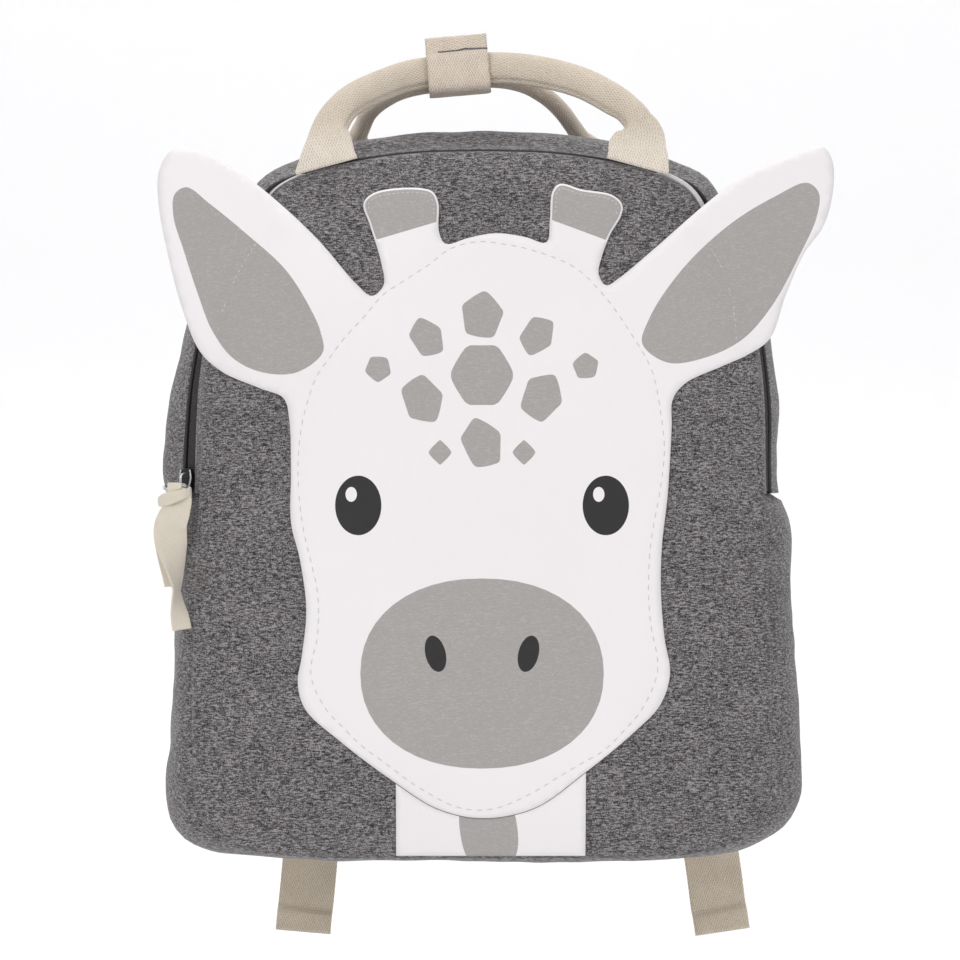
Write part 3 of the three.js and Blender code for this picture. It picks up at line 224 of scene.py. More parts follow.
HALF_TURN = 34
FULL_TURN = 68
RIGHT_ZIP_END = 4 + 2 * 6
LEFT_ZIP_END = FULL_TURN - RIGHT_ZIP_END
MIDDLE = np.array([0.0, SEAM_HIGH / 2])
FORWARD = np.array([0.0, -1.0, 0.0])
BACKWARD = np.array([0.0, 1.0, 0.0])
UPWARD = np.array([0.0, 0.0, 1.0])


def lerp(low, high, share):
    return low + (high - low) * share


def eased(table, at, column=1):
    """A smooth reading of a table by its first column, which never overshoots its rows."""
    knots, values = np.asarray(table, float)[:, 0], np.asarray(table, float)[:, column]
    step = np.diff(knots)
    slope = np.diff(values) / step
    lean = np.zeros(len(knots))
    lean[0], lean[-1] = slope[0], slope[-1]
    for i in range(1, len(slope)):
        before, after = slope[i - 1], slope[i]
        lean[i] = 2 * before * after / (before + after) if before * after > 0 else 0
    at = np.clip(at, knots[0], knots[-1])
    i = np.clip(np.searchsorted(knots, at, side="right") - 1, 0, len(step) - 1)
    s = (at - knots[i]) / step[i]
    low = (2 * s**3 - 3 * s**2 + 1) * values[i] + (s**3 - 2 * s**2 + s) * step[i] * lean[i]
    high = (3 * s**2 - 2 * s**3) * values[i + 1] + (s**3 - s**2) * step[i] * lean[i + 1]
    return low + high


def spline(rows, at, closed=False):
    """Points of the smooth curve through rows, at fractional row numbers."""
    rows = np.asarray(rows, float)
    at = np.asarray(at, float)
    low = np.floor(at).astype(int)
    if closed:
        near = [rows[(low + k) % len(rows)] for k in (-1, 0, 1, 2)]
    else:
        low = np.clip(low, 0, len(rows) - 2)
        held = np.vstack([2 * rows[0] - rows[1], rows, 2 * rows[-1] - rows[-2]])
        near = [held[low + k] for k in range(4)]
    a, b, c, d = near
    first, second, third = (
        np.maximum(np.sum((q - p) ** 2, axis=-1), 1e-9)[..., None] ** 0.25 for p, q in zip(near, near[1:])
    )
    leave = ((b - a) / first - (c - a) / (first + second) + (c - b) / second) * second
    reach = ((c - b) / second - (d - b) / (second + third) + (d - c) / third) * second
    s = (at - low)[..., None]
    return b + s * leave + s**2 * (3 * c - 3 * b - 2 * leave - reach) + s**3 * (2 * b - 2 * c + leave + reach)


def unit(vectors):
    return vectors / np.maximum(np.linalg.norm(vectors, axis=-1, keepdims=True), 1e-12)


def lumps(points, size, seed=0.0):
    """Soft noise between about -1 and 1 at each point, with lumps of the given size."""
    shift = Vector((seed * 7.3, seed * 3.1, seed * 5.7))
    return np.array([noise.noise(Vector(p) / size + shift) for p in np.reshape(points, (-1, 3))]).reshape(
        np.shape(points)[:-1]
    )


# The front seam at fractional places round it, anticlockwise from the middle of the base


def seam_line(places):
    places = np.mod(np.asarray(places, float), FULL_TURN)
    side = np.where(places > HALF_TURN, -1.0, 1.0)
    run = np.where(places > HALF_TURN, FULL_TURN - places, places)
    rows = SEAM * (SEAM_HALF, SEAM_HIGH)
    curve = spline(rows, np.maximum(run - 4, 0) / 2)
    x = np.where(run < 4, rows[0, 0] * run / 4, curve[..., 0])
    z = np.where(run < 4, rows[0, 1], curve[..., 1])
    return np.stack([side * x, z], axis=-1)


def seam_out(places):
    along = unit(seam_line(np.add(places, 1)) - seam_line(np.subtract(places, 1)))
    return np.stack([along[..., 1], -along[..., 0]], axis=-1)


def front_y(z):
    return FRONT_LEAN * z / SEAM_HIGH


def even_places(first, last, step):
    """Places along the seam from first to last, about step millimetres apart."""
    fine = np.linspace(first, last, 1200)
    line = seam_line(fine)
    run = np.concatenate([[0], np.cumsum(np.linalg.norm(np.diff(line, axis=0), axis=1))])
    return np.interp(np.linspace(0, run[-1], max(2, round(run[-1] / step))), run, fine)


def gusset(places, deep, lift=0.0):
    """The gusset's outer face, deep millimetres behind the front seam and moved out by lift."""
    line, out = seam_line(places), seam_out(places)
    z = line[..., 1]
    share_up = out[..., 1] ** 4
    up = z / SEAM_HIGH
    sideways = np.where(
        line[..., 0] < 0, eased(SIDE_SWELL, up, 1), eased(SIDE_SWELL, up, 2)
    ) * SIDE_SWELL_MOST
    swell = lerp(sideways, np.where(out[..., 1] > 0, TOP_SWELL, BASE_SAG), share_up)
    climb = np.clip((z - ZIP_END + ZIP_NECK) / ZIP_NECK, 0, 1)
    zipped = np.where(out[..., 1] < -0.5, 0, climb**2 * (3 - 2 * climb))
    full = BASE_DEEP - front_y(z)
    band = ZIP_BAND / BASE_DEEP
    share = np.where(deep <= ZIP_BAND, deep / BASE_DEEP, lerp(band, 1, (deep - ZIP_BAND) / (full - ZIP_BAND)))
    open_part = lerp(eased(GUSSET, share, 2), eased(GUSSET, share, 3), share_up)
    away = swell * lerp(eased(GUSSET, share, 1), open_part, zipped) + lift
    return np.stack([line[..., 0] + out[..., 0] * away, front_y(z) + deep, z + out[..., 1] * away], axis=-1)


SEAM_PLACES = np.linspace(0, FULL_TURN, 1601)[:-1]
_line = seam_line(SEAM_PLACES) - MIDDLE
_order = np.argsort(np.arctan2(_line[:, 1], _line[:, 0]))
SEAM_ANGLES = np.arctan2(_line[:, 1], _line[:, 0])[_order]
SEAM_REACH = np.linalg.norm(_line, axis=1)[_order]


def ring_of(x, z):
    """How far from the panel's middle to its seam a point lies, and the seam's reach that way."""
    turn = np.arctan2(z - MIDDLE[1], x - MIDDLE[0])
    reach = np.interp(turn, SEAM_ANGLES, SEAM_REACH, period=2 * math.pi)
    return np.hypot(x - MIDDLE[0], z - MIDDLE[1]) / reach, reach


def dents(x, z):
    """The filled panel's soft, shallow hollows, fading out at the seam."""
    ring, _ = ring_of(x, z)
    flat = np.stack([x, 0 * x, z], axis=-1)
    soft = lumps(flat, 62.0, 1.7) * 1.5 + lumps(flat, 24.0, 4.2) * 0.35
    return soft * np.clip((1 - ring) / 0.16, 0, 1)


def panel_y(x, z, lift=0.0):
    """The front panel's outer face, and a cloth's on it. ear_y below lets an ear leave the panel past the
    stitch line.
    """
    ring, reach = ring_of(x, z)
    rise = FRONT_SWELL * eased(FRONT_DOME, np.minimum(ring, 1))
    return front_y(z) - rise - dents(x, z) - lift


def ear_y(x, z, lift=0.0):
    ring, reach = ring_of(x, z)
    free = FRONT_SWELL * eased(FRONT_DOME, STITCH_RING) - EAR_LEAN * reach * (ring - STITCH_RING)
    laid = FRONT_SWELL * eased(FRONT_DOME, np.minimum(ring, 1))
    share = np.clip((ring - STITCH_RING + 0.02) / 0.04, 0, 1)
    return front_y(z) - lerp(laid, free, share * share * (3 - 2 * share)) - dents(x, z) - lift


# Meshes


def piece(name, points, faces, finishes, slots=None, run=None, smooth=True, stands_for=(), keep_side=False):
    """A finished mesh object, placed in the frame and riding on the bag."""
    mesh = bpy.data.meshes.new(name)
    placed = (np.asarray(points, float).reshape(-1, 3) + ORIGIN) * MM
    mesh.from_pydata(placed.tolist(), [], [tuple(int(i) for i in face) for face in faces])
    for finish in finishes:
        mesh.materials.append(finish)
    if slots is not None:
        mesh.polygons.foreach_set("material_index", np.asarray(slots, dtype=np.int32))
    if run is not None:
        layer = mesh.uv_layers.new(name="run")
        layer.data.foreach_set("uv", (np.asarray(run, float) * MM).astype(np.float32).ravel())
    mesh.polygons.foreach_set("use_smooth", np.full(len(mesh.polygons), smooth))
    mesh.update()
    if not keep_side:
        shell = bmesh.new()
        shell.from_mesh(mesh)
        if shell.calc_volume(signed=True) < 0:
            bmesh.ops.reverse_faces(shell, faces=shell.faces[:])
            shell.to_mesh(mesh)
        shell.free()
    made = bpy.data.objects.new(name, mesh)
    bpy.context.scene.collection.objects.link(made)
    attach(made, "root")
    for node in stands_for:
        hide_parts(node)
    return made


def wall(outer, inner, ring=False):
    """Points and faces of a closed cloth wall between two grids of points."""
    rows, columns = outer.shape[:2]
    points = np.concatenate([outer.reshape(-1, 3), inner.reshape(-1, 3)])
    index = np.arange(rows * columns).reshape(rows, columns)
    under = index + rows * columns
    faces = []
    steps = columns if ring else columns - 1
    for j in range(steps):
        k = (j + 1) % columns
        for i in range(rows - 1):
            faces.append((index[i, j], index[i, k], index[i + 1, k], index[i + 1, j]))
            faces.append((under[i, j], under[i + 1, j], under[i + 1, k], under[i, k]))
        faces.append((index[0, j], under[0, j], under[0, k], index[0, k]))
        faces.append((index[-1, j], index[-1, k], under[-1, k], under[-1, j]))
    if not ring:
        for i in range(rows - 1):
            faces.append((index[i, 0], index[i + 1, 0], under[i + 1, 0], under[i, 0]))
            faces.append((index[i, -1], under[i, -1], under[i + 1, -1], index[i + 1, -1]))
    return points, faces


def tube(loops, along=None, around=None, closed=False):
    """Points, faces and run of a body through loops of points. Its ends are capped unless it is closed."""
    loops = np.asarray(loops, float)
    count, sides = loops.shape[:2]
    if along is None:
        centre = loops.mean(axis=1)
        along = np.concatenate([[0], np.cumsum(np.linalg.norm(np.diff(centre, axis=0), axis=1))])
    if around is None:
        girth = np.linalg.norm(np.roll(loops, -1, axis=1) - loops, axis=2)
        around = np.concatenate([np.zeros((count, 1)), np.cumsum(girth, axis=1)], axis=1)
    faces, run = [], []
    for i in range(count if closed else count - 1):
        j = (i + 1) % count
        far = along[j] if j else along[i] + along[1]
        for s in range(sides):
            t = (s + 1) % sides
            faces.append((i * sides + s, i * sides + t, j * sides + t, j * sides + s))
            run += [(along[i], around[i][s]), (along[i], around[i][s + 1])]
            run += [(far, around[j][s + 1]), (far, around[j][s])]
    if not closed:
        for loop, order in ((0, range(sides - 1, -1, -1)), (count - 1, range(sides))):
            faces.append(tuple(loop * sides + s for s in order))
            run += [(along[loop], around[loop][s]) for s in order]
    return loops.reshape(-1, 3), faces, run


def band(rows, step=2.0, sides=20, facing=None, shape=None, ends=None):
    """A strap's loops of points through rows of (place, width, thickness, squareness).

    ends gives the way that its two ends are cut, and over what length the strap comes round to it.
    """
    places = np.array([row[0] for row in rows], float)
    sizes = np.array([row[1:4] for row in rows], float)
    rough = np.linspace(0, len(rows) - 1, 40 * len(rows))
    line = spline(places, rough)
    length = np.concatenate([[0], np.cumsum(np.linalg.norm(np.diff(line, axis=0), axis=1))])
    at = np.interp(np.linspace(0, length[-1], max(4, round(length[-1] / step))), length, rough)
    centre = spline(places, at)
    size = np.stack([np.interp(at, np.arange(len(rows)), sizes[:, k]) for k in range(3)], axis=1)
    along = unit(np.gradient(centre, axis=0))
    if facing is None:
        facing = np.tile(FORWARD, (len(rows), 1))
    faced = np.stack(
        [np.interp(at, np.arange(len(rows)), np.asarray(facing)[:, k]) for k in range(3)], axis=1
    )
    across = unit(np.cross(along, faced))
    if ends is not None:
        run = np.linspace(0, length[-1], len(at))
        for fixed, away in ((ends[0], run), (ends[1], length[-1] - run)):
            share = np.clip(away / ends[2], 0, 1)[:, None]
            across = unit(lerp(fixed, across, share * share * (3 - 2 * share)))
    through = unit(np.cross(across, along))
    turn = 2 * np.pi * (np.arange(sides) + 0.5) / sides
    power = lerp(1.0, 0.25, size[:, 2])[:, None]
    wide = np.sign(np.cos(turn)) * np.abs(np.cos(turn)) ** power
    deep = np.sign(np.sin(turn)) * np.abs(np.sin(turn)) ** power
    if shape is not None:
        factor = shape(turn, at / (len(rows) - 1))
        wide, deep = wide * factor, deep * factor
    loops = (
        centre[:, None]
        + across[:, None] * (size[:, 0, None] / 2 * wide)[..., None]
        + through[:, None] * (size[:, 1, None] / 2 * deep)[..., None]
    )
    return loops


def half_turn(bar, bend, way, wide, thick):
    """Rows and facings of webbing round a bar along X, from its front side to its back."""
    rows, facing = [], []
    for angle in np.linspace(0, np.pi, 7):
        out = np.array([0, -math.cos(angle), way * math.sin(angle)])
        rows.append((bar + out * bend, wide, thick, 0.8))
        facing.append(out)
    return rows, facing


def filled(outlines, step, extra=()):
    """Points and triangles that fill the first outline, with the other lines as edges in it."""
    lines = list(outlines) + list(extra)
    points, edges = [], []
    for line in lines:
        start = len(points)
        points += [tuple(p) for p in line]
        edges += [(start + i, start + (i + 1) % len(line)) for i in range(len(line))]
    fixed = np.array(points)
    low, high = fixed.min(axis=0), fixed.max(axis=0)
    xs, zs = np.arange(low[0], high[0], step), np.arange(low[1], high[1], step * 0.866)
    grid = np.array([(x + (step / 2) * (j % 2), z) for j, z in enumerate(zs) for x in xs])
    grid = grid[within(lines[0], grid)]
    tree = bmesh_tree(fixed)
    clear = [p for p in grid if tree.find((p[0], p[1], 0))[2] > step * 0.55]
    made = delaunay_2d_cdt(
        [Vector(p) for p in points] + [Vector(p) for p in clear], edges, [], 1, 1e-5
    )
    return np.array([tuple(p) for p in made[0]]), [tuple(f) for f in made[2]]


def bmesh_tree(points):
    tree = KDTree(len(points))
    for i, p in enumerate(points):
        tree.insert((p[0], p[1], 0), i)
    tree.balance()
    return tree


def within(outline, points):
    """Which points lie inside a closed outline."""
    outline, points = np.asarray(outline, float), np.asarray(points, float)
    inside = np.zeros(len(points), bool)
    for a, b in zip(outline, np.roll(outline, -1, axis=0)):
        crosses = (a[1] > points[:, 1]) != (b[1] > points[:, 1])
        if a[1] != b[1]:
            at = a[0] + (points[:, 1] - a[1]) * (b[0] - a[0]) / (b[1] - a[1])
            inside ^= crosses & (points[:, 0] < at)
    return inside


def distance_to(line, points, closed=True):
    """Each point's distance to a line."""
    line, points = np.asarray(line, float), np.asarray(points, float)
    ends = np.roll(line, -1, axis=0) if closed else line[1:]
    best = np.full(len(points), 1e9)
    for a, b in zip(line, ends):
        way = b - a
        share = np.clip(((points - a) @ way) / max(way @ way, 1e-12), 0, 1)
        best = np.minimum(best, np.linalg.norm(points - a - share[:, None] * way, axis=1))
    return best


def even_line(line, step, closed=True):
    """The same line with points about step apart."""
    line = np.asarray(line, float)
    whole = np.vstack([line, line[:1]]) if closed else line
    run = np.concatenate([[0], np.cumsum(np.linalg.norm(np.diff(whole, axis=0), axis=1))])
    at = np.linspace(0, run[-1], max(4, round(run[-1] / step)) + 1)
    even = np.stack([np.interp(at, run, whole[:, k]) for k in range(whole.shape[1])], axis=1)
    return even[:-1] if closed else even


def smooth_loop(rows, step=1.5):
    """A closed smooth outline through rows of points."""
    rows = np.asarray(rows, float)
    return even_line(spline(rows, np.linspace(0, len(rows), 12 * len(rows) + 1)[:-1], closed=True), step)


def moved_in(outline, by):
    """An anticlockwise outline moved in by a small distance."""
    along = unit(np.roll(outline, -1, axis=0) - np.roll(outline, 1, axis=0))
    return outline - np.stack([along[:, 1], -along[:, 0]], axis=1) * by


def laid_cloth(flat, triangles, top, under, outline):
    """Points and faces of a thin sheet whose two faces share one set of triangles."""
    count = len(flat)
    points = np.concatenate([top, under])
    edges = {}
    for face in triangles:
        for a, b in zip(face, face[1:] + face[:1]):
            key = (min(a, b), max(a, b))
            edges[key] = edges.get(key, []) + [(a, b)]
    faces = list(triangles) + [tuple(i + count for i in reversed(face)) for face in triangles]
    rim = [pairs[0] for pairs in edges.values() if len(pairs) == 1]
    faces += [(b, a, a + count, b + count) for a, b in rim]
    return points, faces, len(rim)


# Finishes


def light(red, green, blue):
    """A display colour, each part up to 255, as linear light."""
    parts = [c / 255 for c in (red, green, blue)]
    return tuple(c / 12.92 if c <= 0.04045 else ((c + 0.055) / 1.055) ** 2.4 for c in parts)


def tone(colour, by):
    """A colour made lighter or darker."""
    return tuple(min(1.0, c * by) for c in colour[:3]) + (1.0,)


class Finish:
    """A material with its node tree, built up node by node."""

    def __init__(self, name, colour, roughness, metallic=0.0, sheen=0.0, coat=0.0):
        self.material = bpy.data.materials.new(name)
        self.material.use_nodes = True
        self.tree = self.material.node_tree
        self.shader = self.tree.nodes["Principled BSDF"]
        self.shader.inputs["Base Color"].default_value = tone(colour, 1)
        self.shader.inputs["Roughness"].default_value = roughness
        self.shader.inputs["Metallic"].default_value = metallic
        self.shader.inputs["Sheen Weight"].default_value = sheen
        self.shader.inputs["Sheen Roughness"].default_value = 0.5
        self.shader.inputs["Coat Weight"].default_value = coat
        self.material.diffuse_color = tone(colour, 1)

    def add(self, kind, inputs=None, **settings):
        node = self.tree.nodes.new(kind)
        for key, value in settings.items():
            setattr(node, key, value)
        for key, value in (inputs or {}).items():
            if isinstance(value, bpy.types.NodeSocket):
                self.tree.links.new(value, node.inputs[key])
            else:
                node.inputs[key].default_value = value
        return node

    def place(self, scale=(1, 1, 1), turn=(0, 0, 0), run=False):
        """Coordinates on the bag, or along a strap, in metres times scale."""
        if run:
            source = self.add("ShaderNodeUVMap", uv_map="run").outputs[0]
        else:
            source = self.add("ShaderNodeTexCoord").outputs["Object"]
        mapping = self.add("ShaderNodeMapping", {"Vector": source, "Scale": scale, "Rotation": turn})
        return mapping.outputs[0]

    def grain(self, scale, detail=2.0, rough=0.5, where=None):
        where = where or self.place()
        values = {"Vector": where, "Scale": scale, "Detail": detail, "Roughness": rough}
        return self.add("ShaderNodeTexNoise", values).outputs[0]

    def sum(self, first, second, way="MULTIPLY", clamp=False):
        return self.add("ShaderNodeMath", {0: first, 1: second}, operation=way, use_clamp=clamp).outputs[0]

    def ramp(self, value, stops):
        node = self.add("ShaderNodeValToRGB", {0: value})
        marks = node.color_ramp.elements
        while len(marks) < len(stops):
            marks.new(0.5)
        for mark, (at, colour) in zip(marks, stops):
            mark.position = at
            mark.color = tone(colour, 1)
        return node.outputs[0]

    def colour(self, socket):
        self.tree.links.new(socket, self.shader.inputs["Base Color"])

    def roughness(self, socket):
        self.tree.links.new(socket, self.shader.inputs["Roughness"])

    def relief(self, height, depth, strength=1.0, under=None):
        """Bump of the given depth in millimetres."""
        inputs = {"Height": height, "Distance": depth * MM, "Strength": strength}
        if under:
            inputs["Normal"] = under
        bump = self.add("ShaderNodeBump", inputs).outputs[0]
        self.tree.links.new(bump, self.shader.inputs["Normal"])
        return bump


def marl_finish(name, colour, contrast, fleck=0.55):
    """Marl jersey: flecks of light and dark yarn in fine courses."""
    cloth = Finish(name, colour, 0.92, sheen=0.15)
    flecks = cloth.grain(1000 / fleck, 1.0, 0.5)
    courses = cloth.grain(1.0, 1.0, 0.5, cloth.place((430, 430, 1700)))
    patches = cloth.grain(45.0, 3.0, 0.6)
    mixed = cloth.sum(cloth.sum(flecks, 0.5), cloth.sum(courses, 0.5), "ADD")
    mixed = cloth.sum(mixed, cloth.sum(cloth.sum(patches, 0.5, "SUBTRACT"), 0.06), "ADD")
    stops = [
        (0.38, tone(colour, 1 - contrast)), (0.5, tone(colour, 0.92)), (0.62, tone(colour, 1 + contrast * 1.7))
    ]
    cloth.colour(cloth.ramp(mixed, stops))
    cloth.relief(mixed, 0.35, 0.6)
    return cloth.material


def ink_finish(name, colour, roughness=0.55):
    """Ink printed on jersey: smooth, with the cloth's courses just showing through."""
    ink = Finish(name, colour, roughness)
    cloth = ink.grain(1.0, 2.0, 0.5, ink.place((900, 900, 520)))
    soft = ink.grain(14.0, 3.0)
    ink.colour(ink.ramp(soft, [(0.3, tone(colour, 0.975)), (0.7, colour)]))
    ink.relief(cloth, 0.12, 0.5)
    return ink.material


def webbing_finish(name, colour, pitch=2.7, cross=1.3, contrast=0.34, darken_above=None):
    """Cotton webbing: warp cords over weft, in metres along and across the strap's run.

    The last argument gives the height in metres above which the webbing's colour is made darker.
    """
    cotton = Finish(name, colour, 0.9, sheen=0.2)
    split = cotton.add("ShaderNodeSeparateXYZ", {0: cotton.place(run=True)})
    turns = [cotton.sum(split.outputs[k], 2 * math.pi * 1000 / size) for k, size in ((0, pitch), (1, cross))]
    waves = [cotton.sum(turn, 0.0, "SINE") for turn in turns]
    weave = cotton.sum(cotton.sum(waves[0], waves[1]), 0.42)
    cords = cotton.sum(cotton.sum(waves[1], waves[1]), 0.25)
    height = cotton.sum(cotton.sum(weave, cords, "ADD"), 0.4, "ADD")
    fuzz = cotton.grain(1500.0, 3.0, 0.7)
    wear = cotton.grain(70.0, 3.0)
    mixed = cotton.sum(
        cotton.sum(height, 0.6), cotton.sum(cotton.sum(fuzz, 0.5), cotton.sum(wear, 0.25), "ADD"), "ADD"
    )
    stops = [(0.42, tone(colour, 1 - contrast)), (0.66, colour), (0.85, tone(colour, 1 + contrast * 0.5))]
    tint = cotton.ramp(mixed, stops)
    # Above the given height the colour is multiplied by a darker tint
    if darken_above is not None:
        height = cotton.add("ShaderNodeSeparateXYZ", {0: cotton.place()}).outputs[2]
        above = cotton.sum(cotton.sum(height, darken_above, "SUBTRACT"), 80.0, clamp=True)
        used = cotton.ramp(above, [(0.0, (1, 1, 1)), (1.0, (0.84, 0.81, 0.77))])
        tint = cotton.add(
            "ShaderNodeMix", {0: 1.0, 6: tint, 7: used}, data_type="RGBA", blend_type="MULTIPLY"
        ).outputs[2]
    cotton.colour(tint)
    cotton.relief(mixed, 0.8, 0.8)
    return cotton.material


def nylon_finish(name, colour):
    nylon = Finish(name, colour, 0.55)
    split = nylon.add("ShaderNodeSeparateXYZ", {0: nylon.place(run=True)})
    ribs = nylon.sum(nylon.sum(split.outputs[0], 2 * math.pi * 1000 / 1.0), 0.0, "SINE")
    fuzz = nylon.grain(1200.0)
    nylon.colour(nylon.ramp(fuzz, [(0.35, tone(colour, 0.7)), (0.65, tone(colour, 1.3))]))
    nylon.relief(nylon.sum(ribs, fuzz, "ADD"), 0.15, 0.5)
    return nylon.material


def steel_finish(name, colour):
    steel = Finish(name, colour, 0.26, metallic=1.0)
    haze = steel.grain(420.0, 4.0, 0.6)
    steel.roughness(steel.ramp(haze, [(0.3, (0.18,) * 3), (0.7, (0.4,) * 3)]))
    steel.relief(haze, 0.04, 0.3)
    return steel.material


def plastic_finish(name, colour):
    plastic = Finish(name, colour, 0.42)
    grain = plastic.grain(1600.0, 2.0)
    cloud = plastic.grain(40.0, 2.0)
    plastic.colour(plastic.ramp(cloud, [(0.3, tone(colour, 0.94)), (0.7, colour)]))
    plastic.relief(grain, 0.05, 0.4)
    return plastic.material


def thread_finish(name, colour):
    thread = Finish(name, colour, 0.6, sheen=0.2)
    twist = thread.grain(2200.0, 2.0)
    thread.colour(thread.ramp(twist, [(0.3, tone(colour, 0.82)), (0.7, colour)]))
    thread.relief(twist, 0.1, 0.5)
    return thread.material


FINISHES = {}


def finish(name):
    """One of the bag's finishes, made on its first use from the colours that the user set."""
    colours = bpy.context.scene.rucksack_colours
    if name not in FINISHES:
        makers = {
            "marl": lambda: marl_finish("marl_cloth", colours.marl, 0.88),
            "pale_marl": lambda: marl_finish("pale_marl", colours.pale_marl, 0.05, 0.5),
            "white_ink": lambda: ink_finish("white_ink", colours.white_ink),
            "black_ink": lambda: ink_finish("black_ink", colours.black_ink, 0.45),
            "webbing": lambda: webbing_finish("cotton_webbing", colours.webbing, darken_above=-0.028),
            "wrap": lambda: webbing_finish("wrap_webbing", colours.wrap, 2.4, 1.2, 0.42),
            "tails": lambda: webbing_finish("tail_webbing", colours.tails, 2.4, 1.2, 0.4),
            "tape": lambda: webbing_finish("cotton_tape", colours.tape, 1.2, 0.6, 0.16),
            "nylon": lambda: nylon_finish("zip_nylon", colours.nylon),
            "steel": lambda: steel_finish("zip_metal", colours.steel),
            # The slider's dark metal is a painted reflection: the chrome body's dark mirrored surroundings put
            # into its colour
            "steel_painted_dark": lambda: steel_finish("slider_metal_painted_dark", colours.steel_painted_dark),
            "plastic": lambda: plastic_finish("lock_plastic", colours.plastic),
            "white_thread": lambda: thread_finish("white_thread", colours.white_thread),
            "slit_shade_grey": lambda: thread_finish("slit_shade_grey", colours.slit_shade_grey),
        }
        FINISHES[name] = makers[name]()
    return FINISHES[name]


def shade(name, what, red, green, blue):
    return bpy.props.FloatVectorProperty(
        name=name, description=what, subtype="COLOR", size=3, min=0, max=1, default=light(red, green, blue)
    )


class RucksackColours(bpy.types.PropertyGroup):
    """The colours of the bag's cloths, inks, webbing and fittings."""

    marl: shade("Marl cloth", "The bag's dark grey jersey", 101, 98, 99)
    pale_marl: shade("Pale marl", "The unprinted jersey of the face and ears", 169, 165, 163)
    white_ink: shade("White ink", "The face's white print", 238, 234, 235)
    black_ink: shade("Black ink", "The eyes and nostrils", 35, 33, 34)
    webbing: shade("Handle webbing", "The grab handles' cotton", 231, 220, 206)
    wrap: shade("Handle wrap", "The band round both handles", 224, 209, 194)
    tails: shade("Strap webbing", "The lower webbing and its free ends", 214, 200, 180)
    tape: shade("Pull tape", "The cotton tape on the zip pull", 238, 228, 211)
    nylon: shade("Zip", "The zip's coil and tape", 40, 38, 40)
    steel: shade("Zip metal", "The ring and the slider's bail", 215, 215, 216)
    # Painted reflection: the chrome slider body's dark mirrored surroundings, given as its colour
    steel_painted_dark: shade("Slider metal", "The slider's dark body", 70, 68, 70)
    plastic: shade("Ladder locks", "The strap adjusters", 207, 196, 178)
    white_thread: shade("Face thread", "The face's running stitch", 206, 203, 204)
    # The colour of the wrap's dark slit strip, which is painted shade, not seam thread
    slit_shade_grey: shade("Seam thread", "The seams' running stitch", 92, 88, 89)


class RucksackSizes(bpy.types.PropertyGroup):
    """The sizes of the sewing, which don't change the bag's own."""

    stitch: bpy.props.FloatProperty(
        name="Stitch length", description="One stitch of the face's seam",
        default=0.0031, min=0.001, max=0.008,
        unit="LENGTH", subtype="DISTANCE",
    )
    stitch_pitch: bpy.props.FloatProperty(
        name="Stitch pitch", description="From one stitch to the next", default=0.0047, min=0.002, max=0.012,
        unit="LENGTH", subtype="DISTANCE",
    )
    edge: bpy.props.FloatProperty(
        name="Stitch edge", description="The horn tips' running stitch, from the face's cut line",
        default=0.0024, min=0.001, max=0.006, unit="LENGTH", subtype="DISTANCE",
    )
    wrinkle: bpy.props.FloatProperty(
        name="Wrinkle depth", description="How deep the gusset's soft folds are",
        default=0.0014, min=0, max=0.004,
        unit="LENGTH", subtype="DISTANCE",
    )


def stitches(paths, up_from, long, pitch, wide=0.55, high=0.45):
    """Points and faces of running stitches along lines that lie on a surface."""
    points, faces = [], []
    for line, normals in paths:
        run = np.concatenate([[0], np.cumsum(np.linalg.norm(np.diff(line, axis=0), axis=1))])
        for start in np.arange(pitch / 2, run[-1] - long, pitch):
            at = start + long * np.array([0.0, 0.12, 0.5, 0.88, 1.0])
            centre = np.stack([np.interp(at, run, line[:, k]) for k in range(3)], axis=1)
            out = unit(np.stack([np.interp(at, run, normals[:, k]) for k in range(3)], axis=1))
            along = unit(np.gradient(centre, axis=0))
            side = unit(np.cross(along, out))
            dip = np.array([-0.35, 0.0, 0.08, 0.0, -0.35])
            size = np.array([0.35, 0.9, 1.0, 0.9, 0.35])
            base = len(points)
            for i in range(5):
                for turn in np.linspace(0, 2 * np.pi, 6, endpoint=False):
                    points.append(
                        centre[i]
                        + out[i] * (up_from + dip[i] + high / 2 * size[i] * math.sin(turn))
                        + side[i] * (wide / 2 * size[i] * math.cos(turn))
                    )
            for i in range(4):
                for s in range(6):
                    t = (s + 1) % 6
                    faces.append(
                        (base + i * 6 + s, base + i * 6 + t, base + i * 6 + 6 + t, base + i * 6 + 6 + s)
                    )
            faces.append(tuple(base + s for s in range(5, -1, -1)))
            faces.append(tuple(base + 24 + s for s in range(6)))
    return points, faces


def surface_line(flat, lay, lift=0.0):
    """A flat line laid on a surface of the front, with its outward directions."""
    x, z = flat[:, 0], flat[:, 1]
    y = lay(x, z, lift)
    step = 0.5
    lean_x = (lay(x + step, z, lift) - lay(x - step, z, lift)) / (2 * step)
    lean_z = (lay(x, z + step, lift) - lay(x, z - step, lift)) / (2 * step)
    return np.stack([x, y, z], axis=1), unit(np.stack([lean_x, -np.ones_like(x), lean_z], axis=1))


# Operators


